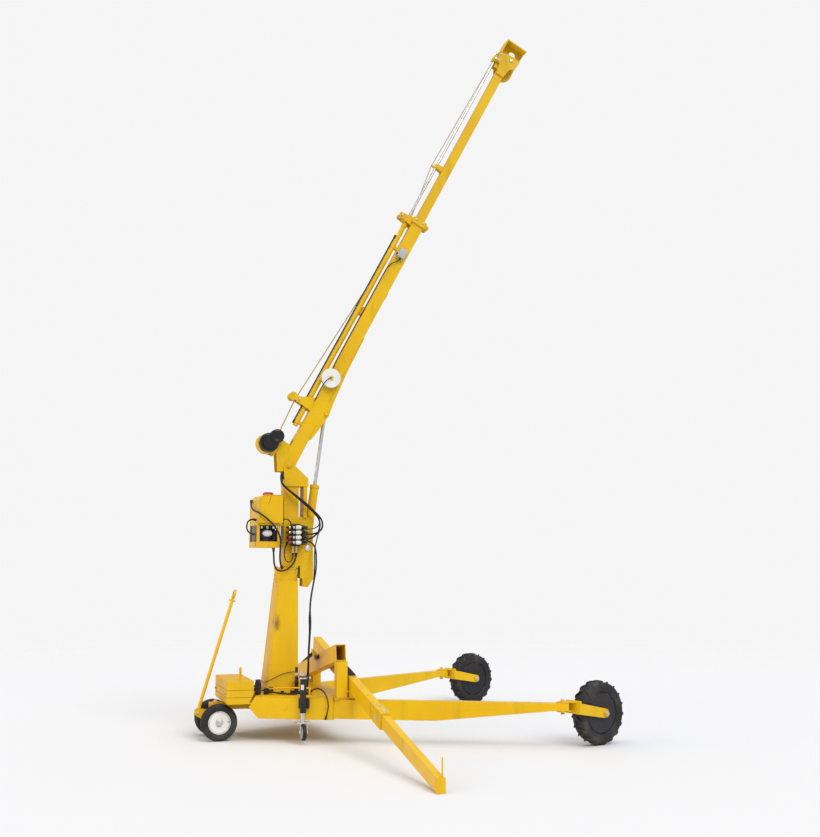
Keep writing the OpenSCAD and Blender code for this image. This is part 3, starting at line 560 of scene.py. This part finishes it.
def rear_wheel(name, side):
    body = f"{name}_rear_wheel"
    m = CHASSIS @ Matrix.Translation((REAR_AXLE_X, 190 * side, REAR_AXLE_Z)) @ Matrix.Rotation(math.pi / 2, 4, "X")
    half = [(97, 36), (101, 40), (112, 43.6), (126, 44.8), (140, 43.5), (150, 39), (155, 33), (157, 30),
             (154.5, 28), (158.8, 25.5), (159.6, 17), (156.5, 15.5), (156.5, 12.5), (160, 11), (160, 0)]
    profile = half + [(r, -h) for r, h in half[-2::-1]]
    lathe(body, "tyre", m, profile + [half[0]], 96)
    piece = flush(body, "tyre", f"{name}_rear_ribbed_tyre")
    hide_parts(f"{name}_rear_tyre")
    for s in (1, -1):
        f = facing(m, (0, 0, 0), (0, 0, s))
        lathe(body, "white", f, [(33, 42), (34, 15), (58, 13.5), (66, 17), (82, 20), (86, 34), (93, 37),
              (98.5, 38.5), (99.5, 36)], 48)
        lathe(body, "steel", f, [(13, 43), (27, 43), (30, 41), (32, 38)], 32)
        for i in range(4):
            a = math.radians(90 * i + 45)
            hexagon(body, "steel", facing(f, (47 * math.cos(a), 47 * math.sin(a), 14), (0, 0, 1)), 13, 0, 7)
    lathe(body, "black", facing(m, (74, 6, 20), (0.25, 0, 1)), [(4, -6), (3.5, 18), (4.5, 19), (4.5, 25),
          (2, 26)], 12)


def flush(body, material, name):
    """Makes an object of what was gathered for a body and material."""
    bm = gathered.pop((body, material))
    bmesh.ops.recalc_face_normals(bm, faces=bm.faces)
    mesh = bpy.data.meshes.new(name)
    bm.to_mesh(mesh)
    bm.free()
    return riding(name, mesh, body, material)


for wheel_name, wheel_side in (("near", -1), ("far", 1)):
    front_wheel(wheel_name, wheel_side)
    rear_wheel(wheel_name, wheel_side)

# ---------------------------------------------------------------- chassis
for x, y in ((429, 160), (429, 70), (741, 160), (741, 60)):
    for s in (1, -1):
        bolt("chassis", CHASSIS, (x, s * y, 408), (0, 0, 1), 17, 13)
for s in (1, -1):
    weld("chassis", CHASSIS, (447, s * 151, 410), (727, s * 151, 410))
    weld("chassis", CHASSIS, (447, s * 150, 410), (544, s * 117, 1370))
    weld("chassis", leg(s), (372, -57, 392), (1060, -57, 392))
    weld("chassis", leg(s), (1061, -50, 214), (1061, -50, 376), (1061, 50, 376), (1061, 50, 214))
weld("chassis", CHASSIS, (446, -150, 410), (446, 150, 410))
weld("chassis", CHASSIS, (945, -706, 395), (1037, -706, 395))
weld("chassis", CHASSIS, (944, -700, 398), (944, -690, 560))
weld("chassis", CHASSIS, (1052, 706, 395), (1130, 706, 395))
for x, side in ((FAR_BEAM_X, 1), (NEAR_BEAM_X, -1)):
    m = out(AX + x, side)
    wide, tall = (40, 66) if side > 0 else (50, 76)
    weld("chassis", m, (-wide, -1479, -tall), (-wide, -1479, tall), (wide, -1479, tall), (wide, -1479, -tall))
    for y in (-1660, -1520):
        bolt("chassis", m, (0, y, tall), (0, 0, 1), 19, 18)
    for s in (1, -1):
        bolt("chassis", m, (s * wide, -1585, 0), (s, 0, 0), 19, 14)
for s in (1, -1):
    swivel = f"{'near' if s < 0 else 'far'}_front_swivel"
    # painted shade: the rod ends on the counterweight's left face take the shaded enamel
    drum("chassis", "shade", facing(CHASSIS, (58, s * 262, 413), (-1, 0, 0)), 9, -3, 16, 1.5, 20)
    bolt(swivel, arm(s), (0, 0, 396), (0, 0, 1), 24, 12)
    bolt(swivel, arm(s), (FRONT_AXLE_X, -146, FRONT_AXLE_Z), (0, -1, 0), 30, 12)
    hexagon(swivel, "steel", facing(arm(s), (FRONT_AXLE_X, 5, FRONT_AXLE_Z), (0, 1, 0)), 30, 0, 14)
    bolt("rear_steering", CHASSIS, (REAR_AXLE_X, 248 * s, REAR_AXLE_Z), (0, s, 0), 22, 11)
    bolt("tow_bar", CHASSIS, (-149, 40 * s, 229), (0, s, 0), 15, 7)
bolt("rear_steering", CHASSIS, (REAR_AXLE_X, 0, 321), (0, 0, 1), 30, 14)

# hose fittings beside the column's foot, relief post and the pipe along the deck's edge
for lo, hi in (((320, -262, 394), (370, -222, 500)), ((396, -262, 394), (440, -222, 446)),
               ((452, -238, 408), (486, -204, 452)), ((556, -232, 394), (584, -206, 416)),
               ((640, -246, 394), (676, -214, 416)), ((742, -410, 393), (792, -344, 436))):
    block("chassis", "gloss", CHASSIS, lo, hi, 4)
drum("chassis", "gusset", CHASSIS @ Matrix.Translation((346, -242, 0)), 24, 498, 524, 4, 32)
for x, y, z in ((320, -250, 470), (320, -236, 432)):
    drum("chassis", "gloss", facing(CHASSIS, (x, y, z), (-1, 0, 0)), 9, -2, 22, 2, 20)
for x in (410, 428):
    drum("chassis", "gloss", facing(CHASSIS, (x, -262, 424), (0, -1, 0)), 9, -2, 16, 2, 20)
drum("chassis", "black", CHASSIS @ Matrix.Translation((700, -215, 0)), 35, 393, 408, 2)
lathe("chassis", "gloss", CHASSIS @ Matrix.Translation((700, -215, 0)),
      [(17.5, 407), (17.5, 470), (20, 474), (20, 500), (17.5, 504), (17.5, 532), (12, 538), (5, 539)], 32)
edge_pipe = smooth_path([(440, -246, 436), (500, -286, 446), (580, -330, 452), (680, -382, 454), (770, -420, 452)])
add("chassis", "yellow", CHASSIS, *sweep(edge_pipe, 7, 12))
block("chassis", "yellow", CHASSIS, (764, -428, 393), (780, -412, 458), 2)
crossed = out(AX + NEAR_BEAM_X, -1)
drum("chassis", "gloss", facing(crossed, (46, 20, 40), (1, 0, 0)), 20, -2, 34, 3, 28)
block("chassis", "gloss", crossed, (46, -40, 20), (72, 70, 56), 4)

# tongue jack
jack = leg(-1) @ Matrix.Translation((809, -110, 0))
lathe("chassis", "steel", jack, [(27.2, 250), (28.4, 252), (28.4, 262), (27.2, 264)], 32)
lathe("chassis", "steel", jack, [(9, 579), (20, 579.5), (33, 575), (36.6, 566), (36.6, 556), (30, 553)], 32)
for z in (308, 322, 362):
    lathe("chassis", "black", jack, [(27, z - 7), (30, z - 6), (30, z + 6), (27, z + 7)], 32)
block("chassis", "white", jack, (-13, -30, 462), (13, -25, 506), 1)
drum("jack_handle", "gloss", jack @ Matrix.Translation((-62, 0, 0)), 12.5, 606, 655, 4, 24)
hexagon("jack_handle", "steel", jack, 17, 600, 609)
caster = jack @ Matrix.Rotation(math.radians(LEG_SPREAD), 4, "Z")
for s in (1, -1):
    hexagon("caster", "steel", facing(caster, (31 * s, -26, 105), (s, 0, 0)), 15, -1, 7)
    for y in (-34, 34):
        hexagon("caster", "steel", facing(caster, (50 * s, y, 189.8), (0, 0, 1)), 12, 0, 7)
    lathe("caster_roller", "grey", facing(caster, (0, -26, 105), (s, 0, 0)),
          [(8, 23.2), (14, 24), (28, 24), (30.4, 22), (34.4, 18.4), (50, 18.8), (56, 18.2)], 32)

# tow handle collar
pull = CHASSIS @ Matrix.Translation((-149, 0, 229)) @ Matrix.Rotation(math.radians(16.6), 4, "Y")
lathe("tow_bar", "yellow", pull, [(15, 26), (20, 28), (20, 42), (15, 48)], 24)

# ---------------------------------------------------------------- upper works
for i in range(12):
    a = math.radians(30 * i + 15)
    if abs(a - math.pi) < math.radians(120):
        bolt("upper_works", CHASSIS, (MAST_X + 91 * math.cos(a), 91 * math.sin(a), 1505), (0, 0, 1), 12, 9,
             "yellow")
low = facing(CHASSIS, (LIFT_X, 0, LIFT_Z), (0, -1, 0))
lathe("lift_barrel_body", "alloy", low, [(2, 79), (20, 78.5), (25, 77), (27.5, 74), (27.5, 67), (24, 65)], 32)
for s in (1, -1):
    weld("upper_works", CHASSIS, (597, 71 * s, 1506), (735, 71 * s, 1506))
    weld("upper_works", CHASSIS, (597, 71 * s, 2251), (735, 71 * s, 2251))
    weld("upper_works", CHASSIS, (736, 65 * s, 1522), (736, 65 * s, 1968))
    weld("upper_works", CHASSIS, (340, 235 * s, 1912), (340, 235 * s, 2120), (384, 235 * s, 2162),
         (554, 235 * s, 2162))
    hexagon("upper_works", "yellow", facing(CHASSIS, (MAST_X, 98 * s, HINGE_Z), (0, s, 0)), 20, -1, 6)
lathe("lift_barrel_body", "yellow", LIFT, [(40, 560), (45.5, 564), (45.5, 590), (41, 593.5), (18, 594)], 40)
lathe("lift_barrel_body", "black", LIFT, [(17.3, 593), (22, 594), (22, 597), (17.3, 598)], 32)
port = facing(LIFT, (0, 40, 540), (0, 1, 0))
drum("lift_barrel_body", "yellow", port, 14, -6, 12, 1.5, 20)
hexagon("lift_barrel_body", "zinc", port, 22, 12, 26)

# power pack inside the cage
motor = facing(CHASSIS, (412, 0, 1806), (0, -1, 0))
body_profile = [(40, -40), (58, -36)]
for k in range(9):
    z = -26 + 16 * k
    body_profile += [(56, z), (60, z + 1), (60, z + 5), (56, z + 6)]
lathe("upper_works", "gloss", motor, body_profile + [(58, 122), (63, 124), (63, 132), (56, 134)], 40)
lathe("upper_works", "gloss", motor, [(56, 132), (55, 140), (48, 150), (2, 151)], 40)
oval = motor @ Matrix.Translation((16, 10, 0)) @ Matrix.Diagonal((1.3, 0.86, 1, 1))
lathe("upper_works", "white", oval, [(35, 150), (34, 157), (27, 165), (14, 170), (2, 171)], 40)
block("upper_works", "gloss", CHASSIS, (350, -160, 1692), (514, 120, 1758), 4)
block("upper_works", "gloss", CHASSIS, (351, -96, 1700), (513, 160, 1886), 5)
block("upper_works", "gloss", CHASSIS, (333, -150, 1744), (338, 164, 1886), 1)
block("upper_works", "gloss", CHASSIS, (352, -150, 1862), (512, -90, 1886), 3)
lathe("upper_works", "gloss", CHASSIS @ Matrix.Translation((500, -128, 0)),
      [(22, 1744), (27, 1748), (27, 1838), (22, 1843), (12, 1846)], 32)
for x, y, z, r in ((346, -120, 1858, 13), (346, -120, 1826, 9), (372, -168, 1872, 9), (480, -168, 1870, 10),
                   (340, -150, 1716, 9)):
    drum("upper_works", "white", CHASSIS @ Matrix.Translation((x, y, 0)), r, z - 12, z + 12, 3, 20)
drum("upper_works", "grey", CHASSIS @ Matrix.Translation((424, -168, 0)), 12, 1858, 1884, 3, 20)
drum("upper_works", "gloss", CHASSIS @ Matrix.Translation((346, -120, 0)), 22, 1700, 1808, 3, 28)

# oil tank: filler neck, cap and a run-down drip
grip = CHASSIS @ Matrix.Translation((446, -70, 0))
lathe("upper_works", "steel", grip, [(31, 2160.8), (52, 2161.2), (52, 2162.6), (31, 2162.9)], 40)
lathe("filler_cap", "red", grip, [(46.3, 2165), (47.6, 2167), (47.6, 2184), (45, 2188), (38, 2189.5),
      (36, 2188.3), (4, 2188.8)], 48)
block("filler_cap", "red", grip, (-34, -7, 2187), (34, 7, 2195), 3)
for i in range(24):
    a = math.radians(15 * i)
    drum("filler_cap", "red", grip @ Matrix.Translation((47 * math.cos(a), 47 * math.sin(a), 0)), 2.4, 2167,
         2183, 0.8, 10)
drip = smooth_path([(442, -234.4, 2150), (436, -234.4, 2128), (424, -234.4, 2092), (420, -234.4, 2078)])
add("upper_works", "black", CHASSIS, *sweep(drip, 1.4, 8))

# valve bank: four sections with cones and fittings, and pale rings that are painted highlights on the black
# sections
for i in range(4):
    z = VALVE_Z + VALVE_PITCH * i
    row = facing(CHASSIS, (0, -146, z), (1, 0, 0))
    # painted highlights: two white rings on each section stand where light glints off the black valve body
    lathe("upper_works", "white", row, [(5, 690), (13, 692), (18, 699), (19, 708), (19, 730), (17, 739),
          (12, 745), (5, 747)], 32)
    lathe("upper_works", "white", row, [(3, 660), (10, 661), (13, 665), (13, 677), (10, 681), (3, 682)], 28)
    lathe("upper_works", "gloss", row, [(12, 744), (15, 747), (15, 756), (10, 772), (6, 790), (3, 794)], 28)
    lathe("upper_works", "gloss", row, [(3, 600), (8, 606), (13, 630), (14, 660), (14, 668)], 28)
    left = facing(CHASSIS, (634, -150, z), (-1, 0, 0))
    lathe("upper_works", "red" if i < 2 else "zinc", left, [(13, -8), (14.5, -6), (14.5, 6), (12, 9), (3, 10)], 24)
    for dz in (-14, 14):
        nut = facing(CHASSIS, (744, -90, z + dz), (1, 0, 0))
        hexagon("upper_works", "gloss", nut, 19, 0, 12)
        drum("upper_works", "gloss", nut, 7.6, 12, 46, 1.5, 20)
    knob = facing(CHASSIS, (778, -210, z), (10, -84, 0))
    lathe(f"lever_{i + 1}", "gloss", knob, [(4, -18), (6, -14), (12.4, -5), (12.6, 3), (9, 10), (3, 12.6)], 24)
    lathe(f"lever_{i + 1}", "black", facing(CHASSIS, (768, -126, z), (10, -84, 0)), [(9, -2), (8, 4), (8, 7),
          (5.5, 9), (5.5, 12)], 20)
for x in (674, 704):
    lathe("upper_works", "zinc", CHASSIS @ Matrix.Translation((x, -120, 0)),
          [(9, 1703), (12, 1700), (12, 1684), (9, 1680), (9, 1662), (13, 1658), (13, 1642), (10, 1638)], 20)

# ---------------------------------------------------------------- boom
for s in (1, -1):
    weld("boom", BOOM, (322, 61 * s, -50), (322, 61 * s, 64))
    weld("boom", BOOM, (330, 61 * s, -52), (470, 61 * s, -54))
    weld("boom", BOOM, (720, 61 * s, -51), (1440, 61 * s, -51))
    for name, s_at, q in (("roller_low", 603, 206), ("roller_high", 2737, 192)):
        hexagon(name, "steel", facing(BOOM, (s_at, 62 if s > 0 else -50, q), (0, s, 0)), 17, 0, 6)
    lathe("boom", "yellow", facing(BOOM, (602.8, 0, -83.8), (0, s, 0)), [(2, 83), (11, 82.5), (15, 80),
          (15, 78)], 28)
    for x in (2735, 2765):
        for q in (-30, 46):
            bolt("boom", BOOM, (x, 72 * s, q), (0, s, 0), 12, 7)
lathe("boom", "steel", facing(BOOM, (592, 0, 276), (0, 1, 0)), [(12.2, -33), (17, -32), (17, 44), (12.2, 45)], 32)
lathe("boom", "yellow", facing(BOOM, (2756, 0, -90), (0, 1, 0)), [(9.2, -33), (16, -32), (16, 44), (9.2, 45)], 32)
for s in (410, 2410):
    lathe("boom", "yellow", facing(BOOM, (s, 0, 118), (1, 0, 0)), [(24, -12), (27, -11), (27, 17), (24, 18)], 32)
lathe("boom", "black", facing(BOOM, (2692, 0, 118), (1, 0, 0)), [(13.4, -1), (20, 0), (20, 4), (13.4, 5)], 32)

# junction box: lid lip, screws and glands
block("boom", "grey", BOOM, (2324, -112, -22), (2416, -106, 52), 2.5)
for x in (2332, 2408):
    for q in (-14, 44):
        hexagon("boom", "steel", facing(BOOM, (x, -112, q), (0, -1, 0)), 6, 0, 2.5)
for at, axis in (((2350, -80, 54), (0, 0, 1)), ((2321.5, -84, 10), (-1, 0, 0))):
    hexagon("boom", "gloss", facing(BOOM, at, axis), 20, 0, 10)
    drum("boom", "gloss", facing(BOOM, at, axis), 8, 9, 17, 2, 20)

# cable reel: two dished cheeks with the cable wound between
reel = facing(BOOM, (921, 0, 46), (0, -1, 0))
for z, s in ((109, 1), (77, -1)):
    side = facing(reel, (0, 0, z), (0, 0, s))
    lathe("reel", "white", side, [(14, 3), (30, 5), (34, 1), (60, -1), (84, -1), (88, 2.5), (92, 3),
          (92.4, 0), (90, -2.5), (40, -3.6), (14, -3.6), (14, 3)], 64)
drum("reel", "hose", reel, 75, 81, 105, 1, 48)
add("reel", "hose", reel, *sweep(coil(79, 83, 20, 4, 40), 3.4, 8))

# winch: rope turns on the drum, smooth motor housings
winch = facing(BOOM, (WINCH_S, 0, WINCH_Q), (0, 1, 0))
add("drum", "rope", winch, *sweep(coil(60.6, -43, 86, 8, 24), 4.8, 8))
for k in range(3):
    a = math.radians(120 * k + 30)
    bolt("boom", BOOM, (WINCH_S + 45 * math.cos(a), 68, WINCH_Q + 45 * math.sin(a)), (0, 1, 0), 13, 8)
for at, r, far in (((WINCH_S, WINCH_Q), 88, 110), ((176, 232), 64, 146)):
    cap = facing(BOOM, (at[0], 0, at[1]), (0, -1, 0))
    lathe("boom", "gloss", cap, [(r, 70), (r + 1, 71), (r + 1, far - 14), (r - 3, far - 3), (r - 12, far + 1),
                                 (r * 0.72, far + 2), (r * 0.66, far + 0.5)], 64)
lathe("boom", "gloss", facing(BOOM, (WINCH_S, 0, WINCH_Q), (0, -1, 0)), [(60.6, 108), (60.6, 124), (52, 133),
      (24, 137), (4, 138)], 48)
for s in (36, 160):
    for y in (-50, 50):
        bolt("boom", BOOM, (s, y, 168), (0, 0, 1), 15, 9)

# boom head
for x, q in ((4985, 92), (5010, -100), (4725, 40)):
    bolt("tip_section", BOOM, (x, 58, q), (0, 1, 0), 14, 8)
for x, q in ((4760, 90), (4835, 92)):
    bolt("tip_section", BOOM, (x, -58, q), (0, -1, 0), 14, 8)
weld("tip_section", BOOM, (4619, -45, -34), (4619, -45, 48))
weld("tip_section", BOOM, (4860, 58, 95), (5020, 58, 95))
for s in (1, -1):
    drum("sheave", "steel", facing(BOOM, (4830, 0, -30), (0, s, 0)), 17, 58.5, 66, 2, 24)
    drum("tip_section", "steel", facing(BOOM, (4770, 0, 118), (0, s, 0)), 13, 30.5, 40, 2, 24)
block("tip_section", "steel", facing(BOOM, (4892, 37, 121), (1, 0, 0)), (-9, -9, -34), (9, 9, 8), 2)


# ---------------------------------------------------------------- ropes and hoses
def strung(*corners, step=45):
    """Even points along the straight runs between corners."""
    points = []
    for a, b in zip(corners, corners[1:]):
        a, b = Vector(a), Vector(b)
        count = max(1, round((b - a).length / step))
        points += [a.lerp(b, k / count) for k in range(count)]
    return points + [Vector(corners[-1])]


hose("winch_line", "boom", BOOM, strung((95, 37, 203.6), (598, 37, 231.2), (2786, 37, 88)), 5, "rope",
     (False, False), "winch_rope")
line = hose("head_line", "boom", BOOM, strung((2786, 37, 88), (3390, 37, 161.5), (4892, 37, 121.5)), 4,
            "rope", (False, False), "head_rope")
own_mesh(line)

hose("supply_hose_1", "upper_works", CHASSIS, [(592, -60, 2350), (574, -76, 2310), (580, -98, 2262),
     (640, -108, 2208), (760, -110, 2106), (860, -112, 2020), (912, -112, 1960), (928, -112, 1896),
     (914, -108, 1836), (876, -100, 1792), (834, -92, 1770), (790.3, -90, 1766)], 8, stands_for="pack_hoses")
hose("supply_hose_2", "upper_works", CHASSIS, [(590, -56, 2370), (564, -76, 2326), (572, -112, 2268),
     (646, -128, 2196), (780, -130, 2090), (880, -132, 2012), (934, -132, 1950), (948, -132, 1890),
     (932, -124, 1848), (896, -108, 1824), (846, -94, 1812), (790.3, -90, 1812)], 8)
hose("supply_hose_3", "upper_works", CHASSIS, [(588, -50, 2390), (560, -74, 2346), (562, -120, 2290),
     (620, -144, 2222), (760, -150, 2118), (850, -150, 2040), (904, -148, 1975), (916, -140, 1920),
     (900, -124, 1880), (850, -98, 1860), (790.3, -90, 1858)], 5)
hose("return_hose", "upper_works", CHASSIS, [(333, 150, 2122), (322, 110, 2090), (318, 40, 2052),
     (318, -60, 2026), (318, -150, 2014), (324, -226, 2004), (356, -254, 1982), (408, -256, 1942),
     (470, -252, 1884), (516, -242, 1810), (536, -230, 1735), (536, -206, 1650), (544, -170, 1580),
     (560, -130, 1532), (580, -92, 1506)], 8)
hose("gauge_hose", "upper_works", CHASSIS, [(334, -64, 1940), (300, -66, 1944), (266, -70, 1926), (252, -76, 1886),
     (258, -84, 1844), (284, -90, 1816), (318, -94, 1808)], 7)
hose("bridge_hose", "upper_works", CHASSIS, [(558, -150, 1928), (580, -152, 1944), (606, -155, 1946),
     (632, -158, 1928), (646, -160, 1900), (650, -158, 1870)], 5.5)
hose("pressure_hose", "upper_works", CHASSIS, [(674, -120, 1636), (672, -124, 1602), (656, -130, 1568),
     (630, -132, 1556), (606, -130, 1572), (596, -124, 1610), (596, -120, 1652), (604, -116, 1696),
     (620, -116, 1730)], 5)
hose("suction_hose", "upper_works", CHASSIS, [(704, -120, 1636), (700, -126, 1600), (684, -134, 1556),
     (650, -142, 1516), (604, -148, 1486), (556, -150, 1476), (516, -150, 1494), (496, -150, 1540),
     (490, -150, 1610), (487, -150, 1680)], 8)
feed = hose("feed_hose", "upper_works", CHASSIS, [(790.3, -90, 1748), (826, -94, 1744), (862, -112, 1722),
            (882, -136, 1670), (884, -160, 1590), (876, -180, 1480), (850, -200, 1360), (826, -214, 1240),
            (816, -222, 1130), (820, -230, 1010), (812, -238, 880), (804, -244, 750), (800, -252, 620),
            (796, -258, 520), (788, -262, 450), (776, -262, 404)], 8, stands_for="drop_hose")
drain = hose("drain_hose", "upper_works", CHASSIS, [(920, -126, 1846), (900, -140, 1790), (880, -152, 1720),
             (868, -160, 1640), (864, -172, 1540), (858, -186, 1420), (840, -204, 1300), (820, -222, 1180),
             (806, -234, 1060), (806, -244, 930), (798, -252, 790), (792, -260, 650), (784, -268, 520),
             (776, -274, 404)], 5.5)
# these two run from the turning mast to the deck, so they ride no single body
for made in (feed, drain):
    made.parent = None
    del made["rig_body"]
    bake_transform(made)
hose("jumper_hose_1", "chassis", CHASSIS, [(436, -262, 424), (476, -296, 414), (550, -342, 405), (630, -384, 404),
     (710, -404, 411), (752, -398, 422)], 8, stands_for="base_hoses")
hose("jumper_hose_2", "chassis", CHASSIS, [(412, -278, 424), (404, -300, 430), (372, -316, 436), (330, -310, 444),
     (300, -284, 456), (304, -256, 468)], 5)
hose("side_hose", "chassis", CHASSIS, [(786, -402, 418), (800, -440, 440), (824, -530, 458), (852, -610, 440),
     (868, -664, 392), (874, -690, 330), (868, -678, 266), (860, -656, 212)], 6)
hose("sensor_lead", "chassis", CHASSIS, [(440, 110, 476), (434, 20, 474), (434, -80, 482), (440, -136, 492),
     (462, -164, 504), (500, -166, 522), (560, -162, 548), (630, -158, 568), (680, -160, 572),
     (712, -170, 568), (724, -190, 558), (716, -210, 546), (702, -215, 540)], 3, ends=(False, False))
hose("boom_lead", "boom", BOOM, [(388, -8, 148), (430, -9, 151), (520, -10, 151), (760, -10, 151),
     (1300, -10, 151), (1800, -10, 151), (2200, -10, 151), (2400, -10, 151), (2480, -9, 151),
     (2526, -8, 148)], 6.5, stands_for="boom_hose")
hose("box_lead", "boom", BOOM, [(2304, -84, 10), (2276, -84, 24), (2250, -82, 46), (2216, -78, 66),
     (2160, -72, 76), (2080, -64, 78), (1950, -56, 77), (1700, -52, 76), (1450, -52, 76), (1250, -54, 76),
     (1140, -60, 76), (1070, -72, 74), (1010, -84, 70)], 5, ends=(False, False))
hose("reel_lead", "boom", BOOM, [(921, -120, 46), (908, -132, 60), (880, -136, 76), (840, -126, 84),
     (796, -104, 84), (752, -82, 80), (708, -66, 76), (664, -58, 73)], 4.5, ends=(False, False))
for s in (520, 900, 1300, 1700, 2150):
    lathe("boom", "gloss", facing(BOOM, (s, -10, 151), (1, 0, 0)), [(6.6, -5), (8.2, -4), (8.2, 4), (6.6, 5)], 20)

# ---------------------------------------------------------------- hand the pieces over
for body_name, material_name in sorted(gathered):
    flush(body_name, material_name, f"{body_name}_{material_name}_details")
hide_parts("pump_motor")
